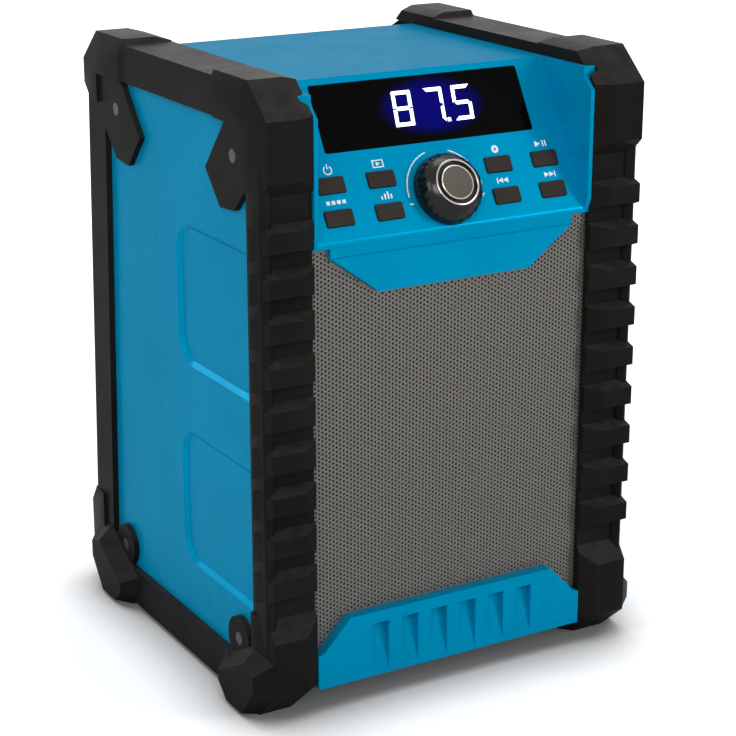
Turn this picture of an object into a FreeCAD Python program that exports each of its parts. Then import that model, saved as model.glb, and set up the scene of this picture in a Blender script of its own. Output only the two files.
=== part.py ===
import FreeCAD, Part
import math
import os
import re

import Sketcher
from FreeCAD import Placement, Rotation, Vector

# Jobsite radio, millimetres. X is right, Y goes to the back, Z is up.
# The origin is the middle of the footprint, on the ground under the feet.
# Every driving size is written once, in this list, and copied to the spreadsheet.
SIZES = [
    ("width", 196, "over the two side frames"),
    ("depth", 205, "front blocks to rear feet"),
    ("height", 290, "feet to the top of the corner guards"),
    ("rear_lean", 14, "how far the rear leans forward over the height"),
    ("seam_place", 16, "Y of the joint between front and rear shell"),
    ("fit_gap", 0.2, "assembly gap between moulded pieces"),
    ("lip_reach", 4.2, "how far the frame laps over the shell's edge"),
    ("pad_proud", 1.5, "guards and blocks stand out from the frame's side"),
    ("strip_recess", 6.6, "post face behind the blocks"),
    ("post_depth", 12.9, "front post behind its face, in Y"),
    ("rear_post_depth", 19.8, "rear post in Y"),
    ("rail_drop", 2.5, "rails below the guards"),
    ("rail_top_height", 17.5, "top rail"),
    ("rail_base_height", 18.5, "bottom rail"),
    ("bevel_width", 2, "outer bevel of guards and blocks in X"),
    ("bevel_front", 15, "outer bevel on the front face"),
    ("bevel_top", 7, "outer bevel on the top face"),
    ("bevel_rise", 5.4, "how much lower the bevel's corner lies"),
    ("lip_chamfer", 7.6, "inner chamfer of guards and blocks in X"),
    ("lip_depth", 4.7, "inner chamfer in Y"),
    ("lip_top", 2, "inner chamfer on the top face"),
    ("guard_slope_run", 17, "corner slope in Y"),
    ("guard_slope_drop", 15, "corner slope in Z"),
    ("guard_reach", 48, "guard length along the rail"),
    ("guard_step", 3, "end slope of the guard on the rail"),
    ("guard_top_drop", 41, "top guard's front face ends this far below the top"),
    ("rear_top_drop", 27, "top guard's rear face ends this far below the top"),
    ("guard_base_rise", 41.5, "bottom guard's front face ends at this height"),
    ("guard_end_top", 6.6, "end slope of the top guard in Z"),
    ("guard_end_base", 9.4, "end slope of the bottom guard in Z"),
    ("block_count", 9, "blocks on each front post"),
    ("block_pitch", 19.6, "from block to block"),
    ("block_first", 228.2, "top edge of the highest block's face"),
    ("block_face", 8.7, "flat face of a block"),
    ("block_crown", 2.5, "rise of a block's top slope"),
    ("block_under", 7.3, "fall of a block's underside over the post's depth"),
    ("ear_thick", 2.8, "screw ear"),
    ("ear_screw_in", 12, "ear screw from the post"),
    ("ear_screw_drop", 14.2, "top ear screw below the rail"),
    ("ear_point_in", 38.5, "far corner of a top ear from the post"),
    ("ear_fall", 39, "top ear below the rail"),
    ("foot_ear_radius", 10.5, "round ear by the foot"),
    ("block_back", 6, "post behind the block's side"),
    ("foot_proud", 6, "corner pads at the foot stand out from the guards"),
    ("foot_reach", 49, "corner pad from the front"),
    ("foot_rise", 36, "corner pad from the ground"),
    ("foot_slope", 7, "sloping rim of a corner pad"),
    ("rear_foot_shift", 9, "rear corner pad further in than the front one"),
    ("shell_half_width", 76, "shell between the frames"),
    ("side_half_width", 93.5, "side panels"),
    ("shell_wall", 2.5, "moulded wall"),
    ("rear_wall", 3, "rear wall in Y"),
    ("rear_setback", 2.5, "rear wall in front of the rear posts' face"),
    ("side_wall", 4, "side panel wall"),
    ("shell_base", 12, "underside of the shell"),
    ("shell_top", 282.5, "top of the shell"),
    ("cheek_wall", 2, "wall beside the control panel"),
    ("cheek_corner", 9.5, "chamfer of the cheek under the guard"),
    ("baffle_place", 10.7, "speaker wall behind the front plane"),
    ("baffle_wall", 3.5, "speaker wall"),
    ("panel_angle", 59.5, "control panel from horizontal"),
    ("panel_wall", 3, "control panel wall"),
    ("nose_place", 6.3, "lower edge of the panel behind the front plane"),
    ("nose_level", 218, "height of the panel's lower edge"),
    ("nose_drop", 1.7, "small face under the nose"),
    ("apron_half_top", 63, "plate under the panel, upper half width"),
    ("apron_half_low", 39.3, "plate under the panel, lower half width"),
    ("apron_low", 194.5, "plate's lower edge"),
    ("apron_ledge", 211.8, "ledge line on the plate"),
    ("apron_step", 0.7, "ledge depth"),
    ("skirt_half_top", 55, "lower front plate, top half width"),
    ("skirt_top", 44, "lower front plate, top edge"),
    ("skirt_knee_half", 64, "lower front plate, half width at the knee"),
    ("skirt_knee", 29.5, "height of the knee"),
    ("skirt_place", 4, "lower front plate behind the front plane"),
    ("slot_pitch", 15.75, "recesses of the lower plate"),
    ("slot_width", 8.8, "one recess"),
    ("slot_top", 36, "top of the recesses"),
    ("slot_low", 14, "where the recesses run out"),
    ("slot_deep", 3.2, "depth of the recesses at their top"),
    ("pocket_rear", -6, "Y of the side pockets' rear edge"),
    ("pocket_low", 48, "bottom of the lower side pocket"),
    ("pocket_rise", 67, "height of a side pocket"),
    ("pocket_pitch", 99.5, "between the two side pockets"),
    ("pocket_round", 14, "corner of a side pocket"),
    ("pocket_deep", 1.8, "depth of a side pocket"),
    ("shoulder_place", 60, "Y where the rear shoulder starts"),
    ("shoulder_drop", 18, "fall of the rear shoulder"),
    ("lens_width", 108, "display window"),
    ("lens_rise", 31, "display window along the slope"),
    ("lens_thick", 2, "display window"),
    ("lens_ledge", 2, "ledge under the window's rim"),
    ("lens_along", 56.1, "window centre up the slope"),
    ("button_width", 12, "button face"),
    ("button_rise", 6.4, "button face along the slope"),
    ("button_round", 0.8, "button corner"),
    ("button_proud", 0.9, "button above the panel"),
    ("button_flange", 0.9, "button rim under the panel"),
    ("button_travel", 0.6, "button travel"),
    ("button_gap", 0.3, "gap round a button"),
    ("button_outer", 55.6, "outer buttons from the middle"),
    ("button_inner", 30.5, "inner buttons from the middle"),
    ("row_upper", 26.2, "upper row up the slope"),
    ("row_lower", 11.4, "lower row up the slope"),
    ("knob_along", 17.4, "knob centre up the slope"),
    ("knob_radius", 14.6, "knob at its foot"),
    ("knob_waist", 11.2, "knob under its ring"),
    ("knob_height", 11.9, "knob"),
    ("knob_lift", 0.3, "knob above the panel"),
    ("knob_ring_radius", 9.4, "metal ring on the knob"),
    ("knob_cap_radius", 6.9, "disc in the knob"),
    ("shaft_radius", 3, "encoder shaft"),
    ("running_gap", 0.05, "radial gap of a turning fit"),
    ("board_gap", 7.5, "control board behind the panel wall"),
    ("board_thick", 1.6, "circuit boards"),
    ("grille_half_width", 73.6, "grille"),
    ("grille_low", 14, "grille lower edge"),
    ("grille_high", 216, "grille upper edge"),
    ("grille_thick", 1, "grille sheet"),
    ("cloth_thick", 0.5, "speaker cloth behind the grille"),
    ("speaker_level", 119, "height of the speaker's axis"),
    ("speaker_opening", 46, "hole in the speaker wall"),
    ("speaker_flange", 51, "speaker flange radius"),
    ("speaker_depth", 42, "speaker basket"),
    ("magnet_radius", 32, "speaker magnet"),
    ("magnet_thick", 14, "speaker magnet"),
    ("screw_radius", 1.75, "self-tapping screws"),
    ("screw_head", 3.2, "screw head radius"),
    ("screw_cap", 1.4, "screw head height"),
    ("boss_radius", 4.5, "screw bosses"),
    ("door_half_width", 46, "battery door opening"),
    ("door_low", 40, "battery door opening, lower edge"),
    ("door_high", 132, "battery door opening, upper edge"),
    ("door_thick", 2.6, "battery door"),
    ("hinge_radius", 3, "door hinge barrel"),
    ("hinge_pin_radius", 1.5, "door hinge pin"),
    ("hinge_drop", 4.2, "hinge axis below the door opening"),
    ("lug_inner", 28, "hinge lug, inner end"),
    ("lug_outer", 40, "hinge lug, outer end"),
    ("bay_deep", 46, "battery bay"),
    ("bay_wall", 2, "battery bay wall"),
    ("flap_left", -46, "socket recess, left edge"),
    ("flap_right", 2, "socket recess, right edge"),
    ("flap_low", 156, "socket recess, lower edge"),
    ("flap_high", 190, "socket recess, upper edge"),
    ("flap_thick", 2.2, "rubber flap"),
    ("flap_bead", 1.2, "flap hinge bead radius"),
    ("plate_deep", 11, "socket plate behind the rear face"),
    ("jack_pitch", 15, "between the sockets"),
    ("antenna_place", 52, "X of the antenna's swivel"),
    ("antenna_level", 245, "height of the antenna"),
    ("mast_radius", 2.2, "outer antenna tube"),
    ("mast_length", 107, "outer antenna tube"),
    ("middle_radius", 1.8, "middle antenna tube"),
    ("tip_radius", 1.3, "antenna tip"),
    ("tip_bead", 2.2, "bead on the antenna's end"),
    ("stage_step", 4, "each stage stands out this far when closed"),
    ("elbow_lift", 5.9, "elbow axis behind the rear face"),
    ("elbow_width", 5, "antenna eye"),
    ("elbow_pin", 1.1, "elbow pin radius"),
]

NAMES = [name for name, number, meaning in SIZES]
FINISHED = []
POCKETS = []

doc = FreeCAD.newDocument("jobsite_radio")
sheet = doc.addObject("Spreadsheet::Sheet", "dims")
for row, (name, number, meaning) in enumerate(SIZES, start=1):
    sheet.set(f"A{row}", name)
    sheet.set(f"B{row}", str(number))
    sheet.setAlias(f"B{row}", name)
    sheet.set(f"C{row}", meaning)
doc.recompute()


def bind(text):
    """Turn size names in an expression into references to the sheet."""
    return re.sub(r"[a-z][a-z_]*", lambda m: f"dims.{m.group(0)}" if m.group(0) in NAMES else m.group(0),
                  str(text))


def value(text):
    """The number that an expression has now."""
    return float(sheet.evalExpression(str(text)))


# Places that several pieces share, as expressions in the sizes.
FRONT = "(-depth / 2)"
REAR = "(depth / 2)"
FACE = f"({FRONT} + strip_recess)"
WINDOW_FRONT = f"({FACE} + post_depth)"
WINDOW_LOW = "(rail_drop + rail_base_height)"
WINDOW_HIGH = "(height - rail_drop - rail_top_height)"
OUTER = "(width / 2)"
BEVEL_X = "(width / 2 - bevel_width)"
INNER_X = "(shell_half_width - lip_reach + fit_gap)"
CHAMFER_X = f"({INNER_X} + lip_chamfer)"
SIDE_X = "(width / 2 - pad_proud)"
REAR_TOP = "(depth / 2 - rear_lean * (height - guard_slope_drop) / height)"
NOSE = f"({FRONT} + nose_place)"
BAFFLE = f"({FRONT} + baffle_place)"
SHEET = f"({BAFFLE} - cloth_thick - 0.1)"
LAP = f"({SHEET} - grille_thick)"
TAN_PANEL = "tan(panel_angle * 1deg)"
SIN_PANEL = "sin(panel_angle * 1deg)"
COS_PANEL = "cos(panel_angle * 1deg)"


def rear_face(level, back="0"):
    """Y of the leaning rear face of the posts at a height, less a setback."""
    return f"({REAR} - strip_recess - rear_lean * ({level}) / height - ({back}))"


def shell_rear(level, back="0"):
    """Y of the rear shell's outer face at a height."""
    return rear_face(level, f"rear_setback + ({back})")


def new_body(label):
    body = doc.addObject("PartDesign::Body", label)
    body.Label = label
    FINISHED.append(body)
    return body


def origin_plane(body, role):
    return [item for item in body.Origin.OriginFeatures if item.Role == role][0]


def new_sketch(body, name, plane, lift="0", tilt=None):
    """A sketch on an origin plane, lifted along its normal, or laid on the control panel."""
    sketch = body.newObject("Sketcher::SketchObject", name)
    sketch.AttachmentSupport = (origin_plane(body, plane), [""])
    sketch.MapMode = "FlatFace"
    if tilt is None:
        sketch.setExpression("AttachmentOffset.Base.z", bind(lift))
    else:
        deep = f"({lift})"
        sketch.AttachmentOffset = Placement(Vector(0, 0, 0), Rotation(Vector(1, 0, 0), value("panel_angle")))
        sketch.setExpression("AttachmentOffset.Rotation.Angle", bind("panel_angle * 1deg"))
        sketch.setExpression("AttachmentOffset.Base.y", bind(f"{NOSE} - {deep} * {SIN_PANEL}"))
        sketch.setExpression("AttachmentOffset.Base.z", bind(f"nose_level + {deep} * {COS_PANEL}"))
    return sketch


def hold(sketch, kind, first, point, text):
    index = sketch.addConstraint(Sketcher.Constraint(kind, -1, 1, first, point, value(text)))
    sketch.setExpression(f"Constraints[{index}]", bind(text))


def polygon(body, name, plane, points, lift="0", tilt=None):
    sketch = new_sketch(body, name, plane, lift, tilt)
    corners = [Vector(value(u), value(v), 0) for u, v in points]
    count = len(corners)
    for i in range(count):
        sketch.addGeometry(Part.LineSegment(corners[i], corners[(i + 1) % count]), False)
    for i in range(count):
        sketch.addConstraint(Sketcher.Constraint("Coincident", i, 2, (i + 1) % count, 1))
    for i, (u, v) in enumerate(points):
        hold(sketch, "DistanceX", i, 1, u)
        hold(sketch, "DistanceY", i, 1, v)
    return sketch


def circles(body, name, plane, discs, lift="0", tilt=None):
    """Circles given as centre u, centre v and radius."""
    sketch = new_sketch(body, name, plane, lift, tilt)
    for u, v, radius in discs:
        centre = Vector(value(u), value(v), 0)
        index = sketch.addGeometry(Part.Circle(centre, Vector(0, 0, 1), value(radius)), False)
        hold(sketch, "DistanceX", index, 3, u)
        hold(sketch, "DistanceY", index, 3, v)
        size = sketch.addConstraint(Sketcher.Constraint("Radius", index, value(radius)))
        sketch.setExpression(f"Constraints[{size}]", bind(radius))
    return sketch


def rounded(body, name, plane, left, low, right, high, radius, lift="0", tilt=None):
    """A rectangle with round corners: four lines joined by four tangent arcs."""
    sketch = new_sketch(body, name, plane, lift, tilt)
    x0, y0, x1, y1, r = [value(text) for text in (left, low, right, high, radius)]
    lines = [((x0 + r, y0), (x1 - r, y0)), ((x1, y0 + r), (x1, y1 - r)),
             ((x1 - r, y1), (x0 + r, y1)), ((x0, y1 - r), (x0, y0 + r))]
    centres = [(x1 - r, y0 + r), (x1 - r, y1 - r), (x0 + r, y1 - r), (x0 + r, y0 + r)]
    for turn, (line, centre) in enumerate(zip(lines, centres)):
        sketch.addGeometry(Part.LineSegment(Vector(*line[0], 0), Vector(*line[1], 0)), False)
        start = math.pi / 2 * (turn - 1)
        ring = Part.Circle(Vector(*centre, 0), Vector(0, 0, 1), r)
        sketch.addGeometry(Part.ArcOfCircle(ring, start, start + math.pi / 2), False)
    for turn in range(4):
        line, arc, following = 2 * turn, 2 * turn + 1, (2 * turn + 2) % 8
        sketch.addConstraint(Sketcher.Constraint("Tangent", line, 2, arc, 1))
        sketch.addConstraint(Sketcher.Constraint("Tangent", arc, 2, following, 1))
    for line in (0, 4):
        sketch.addConstraint(Sketcher.Constraint("Horizontal", line))
    for line in (2, 6):
        sketch.addConstraint(Sketcher.Constraint("Vertical", line))
    for arc in (3, 5, 7):
        sketch.addConstraint(Sketcher.Constraint("Equal", 1, arc))
    size = sketch.addConstraint(Sketcher.Constraint("Radius", 1, r))
    sketch.setExpression(f"Constraints[{size}]", bind(radius))
    hold(sketch, "DistanceY", 0, 1, low)
    hold(sketch, "DistanceX", 2, 1, right)
    hold(sketch, "DistanceY", 4, 1, high)
    hold(sketch, "DistanceX", 6, 1, left)
    return sketch


def extrude(kind, body, name, sketch, length, side="One side", back=False):
    feature = body.newObject(kind, name)
    feature.Profile = sketch
    feature.SideType = side
    feature.Reversed = back
    feature.setExpression("Length", bind(length))
    return feature


def pad(body, name, sketch, length, side="One side", back=False):
    return extrude("PartDesign::Pad", body, name, sketch, length, side, back)


def pocket(body, name, sketch, length, side="One side", back=False):
    """A pocket that must remove something: its volume is compared once all is computed."""
    feature = extrude("PartDesign::Pocket", body, name, sketch, length, side, back)
    POCKETS.append(feature)
    return feature


def loft(body, name, sketches):
    feature = body.newObject("PartDesign::AdditiveLoft", name)
    feature.Profile = sketches[0]
    feature.Sections = sketches[1:]
    feature.Ruled = True
    return feature


def mirrored(label, source):
    """The other side's piece, mirrored through the middle of the radio."""
    twin = doc.addObject("Part::Mirroring", label)
    twin.Label = label
    twin.Source = source
    twin.Normal = Vector(1, 0, 0)
    FINISHED.append(twin)
    return twin


def cylinder(name, radius, height, base, direction):
    """A round bar from a base point along a direction."""
    bar = doc.addObject("Part::Cylinder", name)
    bar.setExpression("Radius", bind(radius))
    bar.setExpression("Height", bind(height))
    bar.Placement = Placement(Vector(0, 0, 0), Rotation(Vector(0, 0, 1), Vector(*direction)))
    for letter, text in zip("xyz", base):
        bar.setExpression(f"Placement.Base.{letter}", bind(text))
    return bar


def fuse(label, pieces, final=True):
    union = doc.addObject("Part::MultiFuse", label)
    union.Label = label
    union.Shapes = pieces
    if final:
        FINISHED.append(union)
    return union


def group(label, pieces):
    """Separate solids that share one node."""
    compound = doc.addObject("Part::Compound", label)
    compound.Label = label
    compound.Links = pieces
    FINISHED.append(compound)
    return compound


def on_panel(u, along, height):
    """A point given across the panel, up its slope and above its face."""
    y = f"{NOSE} + ({along}) * {COS_PANEL} - ({height}) * {SIN_PANEL}"
    z = f"nose_level + ({along}) * {SIN_PANEL} + ({height}) * {COS_PANEL}"
    return (u, y, z)


def guard_sections(top, front):
    """Four outlines of a corner guard, from its inner lip to its outer pad."""
    if top:
        place_z = lambda w: f"(height - ({w}))"
        face_end, end_rise, window = "guard_top_drop", "guard_end_top", "(rail_drop + rail_top_height)"
    else:
        place_z = lambda w: f"({w})"
        face_end, end_rise, window = "guard_base_rise", "guard_end_base", WINDOW_LOW
    if front:
        place_y = lambda u: f"({FRONT} + ({u}))"
    else:
        corner = REAR_TOP if top else REAR
        place_y = lambda u: f"({corner} - ({u}))"
        face_end = "rear_top_drop" if top else face_end
    post = "(strip_recess + post_depth)"
    run = "guard_slope_run / guard_slope_drop"
    end_level = f"{face_end} + {end_rise}"
    end_slope = f"{end_rise} / strip_recess"
    shape_face = [
        ("0", face_end), ("0", "guard_slope_drop"), ("guard_slope_run", "0"), ("guard_reach", "0"),
        ("guard_reach + guard_step", "guard_step"), ("guard_reach + guard_step", window),
        (post, window), (post, end_level), ("strip_recess", end_level),
    ]
    shape_lip = [
        ("lip_depth", f"{face_end} + lip_depth * {end_slope}"), ("lip_depth", "guard_slope_drop"),
        (f"lip_depth + (guard_slope_drop - lip_top) * {run}", "lip_top"),
        ("guard_reach + lip_top", "lip_top"),
    ] + shape_face[4:]
    bevel_z = "(guard_slope_drop + bevel_rise)"
    inset = "bevel_width"
    shape_pad = [
        ("bevel_front", f"{end_level} - ({inset}) * {end_slope}"), ("bevel_front", bevel_z),
        (f"bevel_front + ({bevel_z} - bevel_top) * {run}", "bevel_top"),
        ("guard_reach - guard_step", "bevel_top"),
        (f"guard_reach - {inset}", f"bevel_top + guard_step - {inset}"), (f"guard_reach - {inset}", window),
        (post, window), (post, end_level), (f"bevel_front + {inset}", end_level),
    ]
    outlines = [(INNER_X, shape_lip), (CHAMFER_X, shape_face), (BEVEL_X, shape_face), (OUTER, shape_pad)]
    return [(x, [(place_y(u), place_z(w)) for u, w in shape]) for x, shape in outlines]


def add_guard(body, tag, top, front):
    sketches = [polygon(body, f"{tag}_{i}", "YZ_Plane", points, lift=x)
                for i, (x, points) in enumerate(guard_sections(top, front))]
    return loft(body, tag, sketches)


def add_blocks(body):
    """One block on the post, in front and round its side, repeated down the post."""
    front_end = "strip_recess + 0.4"
    under = "block_under / (strip_recess + post_depth)"
    face_low = "block_first - block_face"
    face = [(FRONT, "block_first"), (f"{FRONT} + {front_end}", "block_first + block_crown"),
            (f"{FRONT} + {front_end}", f"{face_low} - ({front_end}) * {under}"), (FRONT, face_low)]
    lip = [(f"{FRONT} + lip_depth", f"block_first + block_crown * lip_depth / ({front_end})"), face[1],
           face[2],
           (f"{FRONT} + lip_depth", f"{face_low} - lip_depth * {under}")]
    back = f"({WINDOW_FRONT} - block_back)"
    side = [(FRONT, "block_first"), (back, "block_first"),
            (back, f"{face_low} - ({back} - {FRONT}) * {under}"), (FRONT, face_low)]
    side_pad = [(f"{FRONT} + bevel_front", "block_first"), side[1], side[2],
                (f"{FRONT} + bevel_front", f"{face_low} - bevel_front * {under}")]
    front_loft = loft(body, "block_front", [
        polygon(body, "block_lip", "YZ_Plane", lip, lift=INNER_X),
        polygon(body, "block_chamfer", "YZ_Plane", face, lift=CHAMFER_X),
        polygon(body, "block_bevel", "YZ_Plane", face, lift=BEVEL_X)])
    side_loft = loft(body, "block_side", [
        polygon(body, "block_side_inner", "YZ_Plane", side, lift=f"{BEVEL_X} - bevel_width"),
        polygon(body, "block_side_root", "YZ_Plane", side, lift=BEVEL_X),
        polygon(body, "block_side_pad", "YZ_Plane", side_pad, lift=OUTER)])
    pattern = body.newObject("PartDesign::LinearPattern", "block_row")
    pattern.Originals = [front_loft, side_loft]
    axis = [item for item in body.Origin.OriginFeatures if item.Role == "Z_Axis"][0]
    pattern.Direction = (axis, [""])
    pattern.Reversed = True
    pattern.setExpression("Length", bind("block_pitch * (block_count - 1)"))
    pattern.setExpression("Occurrences", bind("block_count"))
    body.Tip = pattern
    doc.recompute()
    return pattern


def add_feet(body):
    """Corner pads that stand out sideways at the foot, with sloping rims."""
    root = [("0.5", "15.5"), ("17.5", "0.5"), ("foot_reach - 8", "0.5"), ("foot_reach", "8"),
            ("foot_reach", "foot_rise - 18"), ("foot_reach - 15", "foot_rise - 10"), ("16", "foot_rise"),
            ("0.5", "foot_rise - 4")]
    face = [("foot_slope", "17"), ("19", "2"), ("foot_reach - 15", "2"), ("foot_reach - foot_slope", "9"),
            ("foot_reach - foot_slope", "foot_rise - 22"), ("foot_reach - 18", "foot_rise - 16"),
            ("16", "foot_rise - 8"), ("foot_slope", "foot_rise - 11")]
    for tag, edge, sign, shift in (("front", FRONT, "+", "0"), ("rear", REAR, "-", "rear_foot_shift")):
        sketches = []
        for part, points, lift in (("root", root, BEVEL_X), ("face", face, f"{OUTER} + foot_proud")):
            placed = [(f"{edge} {sign} ({shift} + {u})", w) for u, w in points]
            sketches.append(polygon(body, f"foot_{tag}_{part}", "YZ_Plane", placed, lift))
        loft(body, f"foot_{tag}", sketches)


def rear_window(level):
    return rear_face(level, "rear_post_depth")


EAR_SCREWS = [
    (f"{WINDOW_FRONT} + ear_screw_in", f"{WINDOW_HIGH} - ear_screw_drop"),
    (f"{rear_window(WINDOW_HIGH)} - ear_screw_in", f"{WINDOW_HIGH} - ear_screw_drop"),
    (f"{WINDOW_FRONT} + ear_screw_in + 3.5", f"{WINDOW_LOW} + 10"),
    (f"{rear_window(WINDOW_LOW)} - ear_screw_in - 3.5", f"{WINDOW_LOW} + 10"),
]


def add_ears(body):
    """Screw ears that lie on the side panel inside the frame's corners."""
    lift = f"{SIDE_X} - ear_thick"
    overlap = "2"
    for tag, edge, sign in (("front", WINDOW_FRONT, "+"), ("rear", rear_window(WINDOW_HIGH), "-")):
        outline = [("-" + overlap, f"{WINDOW_HIGH} + {overlap}"),
                   ("ear_point_in * 0.44", f"{WINDOW_HIGH} + {overlap}"),
                   ("ear_point_in", f"{WINDOW_HIGH} - ear_fall * 0.61"),
                   ("ear_point_in * 0.64", f"{WINDOW_HIGH} - ear_fall"),
                   ("ear_point_in * 0.29", f"{WINDOW_HIGH} - ear_fall * 0.97"),
                   ("-" + overlap, f"{WINDOW_HIGH} - ear_fall * 0.62")]
        points = [(f"{edge} {sign} ({u})", v) for u, v in outline]
        pad(body, f"ear_top_{tag}", polygon(body, f"ear_top_{tag}_outline", "YZ_Plane", points, lift),
            "ear_thick")
    for tag, screw in (("front", EAR_SCREWS[2]), ("rear", EAR_SCREWS[3])):
        disc = circles(body, f"ear_foot_{tag}_disc", "YZ_Plane", [(*screw, "foot_ear_radius")], lift)
        pad(body, f"ear_foot_{tag}", disc, "ear_thick")
    holes = [(y, z, "screw_radius + fit_gap") for y, z in EAR_SCREWS]
    sinks = [(y, z, "screw_head + fit_gap") for y, z in EAR_SCREWS]
    pocket(body, "ear_holes", circles(body, "ear_hole_discs", "YZ_Plane", holes, f"{SIDE_X} + 1"),
           "ear_thick + 3")
    pocket(body, "ear_sinks", circles(body, "ear_sink_discs", "YZ_Plane", sinks, f"{SIDE_X} + 1"),
           "1 + screw_cap")


def side_frame():
    """One moulded side frame: ring, corner guards, post blocks and screw ears."""
    body = new_body("side_frame_right")
    run = "guard_slope_run / guard_slope_drop"
    corner_z = f"(guard_slope_drop - (strip_recess - lip_depth) / ({run}) + 0.3)"
    corner_y = f"(lip_depth + (guard_slope_drop - rail_drop) * {run} + 0.3)"
    high = f"(height - {corner_z})"
    ring = [(FACE, corner_z), (FACE, high),
            (f"{FRONT} + {corner_y}", "height - rail_drop"),
            (f"{REAR_TOP} - {corner_y}", "height - rail_drop"),
            (rear_face(high), high), (rear_face(corner_z), corner_z),
            (f"{REAR} - {corner_y}", "rail_drop"), (f"{FRONT} + {corner_y}", "rail_drop")]
    pad(body, "ring", polygon(body, "ring_outline", "YZ_Plane", ring, INNER_X), f"{SIDE_X} - {INNER_X}")
    window = [(WINDOW_FRONT, WINDOW_LOW), (WINDOW_FRONT, WINDOW_HIGH),
              (rear_window(WINDOW_HIGH), WINDOW_HIGH), (rear_window(WINDOW_LOW), WINDOW_LOW)]
    pocket(body, "window", polygon(body, "window_outline", "YZ_Plane", window, OUTER), OUTER)
    add_blocks(body)
    add_guard(body, "guard_front_top", True, True)
    add_guard(body, "guard_front_foot", False, True)
    add_guard(body, "guard_rear_top", True, False)
    add_guard(body, "guard_rear_foot", False, False)
    add_feet(body)
    add_ears(body)
    space = [(f"{LAP} - fit_gap", "shell_base - fit_gap"), (f"{LAP} - fit_gap", "shell_top + fit_gap"),
             (shell_rear("shell_top", "-fit_gap"), "shell_top + fit_gap"),
             (shell_rear("shell_base", "-fit_gap"), "shell_base - fit_gap")]
    pocket(body, "shell_space", polygon(body, "shell_space_outline", "YZ_Plane", space),
           "shell_half_width + fit_gap", back=True)
    return body


def midplane_pad(body, name, points, half, plane="YZ_Plane"):
    return pad(body, name, polygon(body, name + "_outline", plane, points), f"2 * ({half})", "Symmetric")


def midplane_pocket(body, name, points, half, plane="YZ_Plane"):
    return pocket(body, name, polygon(body, name + "_outline", plane, points), f"2 * ({half})", "Symmetric")


SINK_FLOOR = f"({shell_rear('shell_top - 24', '12')})"
SHELL_SCREWS = [("-62", "34"), ("62", "34"), ("-62", "shell_top - 24"), ("62", "shell_top - 24")]


def add_bosses(body, seam, length, rib_length, back):
    """Bosses for the four long screws, each on a rib to the wall above or below it."""
    discs = [(x, z, "boss_radius") for x, z in SHELL_SCREWS]
    pad(body, "bosses", circles(body, "boss_discs", "XZ_Plane", discs, f"-({seam})"), length, back=back)
    for i, (x, z) in enumerate(SHELL_SCREWS):
        wall = "shell_base + 1" if i < 2 else "shell_top - 1"
        rib = [(f"{x} - 1.2", z), (f"{x} + 1.2", z), (f"{x} + 1.2", wall), (f"{x} - 1.2", wall)]
        pad(body, f"boss_rib_{i}", polygon(body, f"boss_rib_{i}_outline", "XZ_Plane", rib, f"-({seam})"),
            rib_length, back=back)


def pilot_holes(body, tag, screws):
    """Pilot holes for the frame's ear screws through both side walls, with bosses behind."""
    for side, x in (("right", "side_half_width - side_wall"), ("left", "-side_half_width + side_wall")):
        discs = [(y, z, "boss_radius") for y, z in screws]
        sketch = circles(body, f"{tag}_boss_{side}_discs", "YZ_Plane", discs, x)
        pad(body, f"{tag}_boss_{side}", sketch, "9", back=(side == "right"))
    holes = [(y, z, "screw_radius + 0.1") for y, z in screws]
    for side, x in (("right", "side_half_width + 1"), ("left", "-side_half_width - 1")):
        sketch = circles(body, f"{tag}_pilot_{side}_discs", "YZ_Plane", holes, x)
        pocket(body, f"{tag}_pilot_{side}", sketch, "side_wall + 9", back=(side == "left"))


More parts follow.
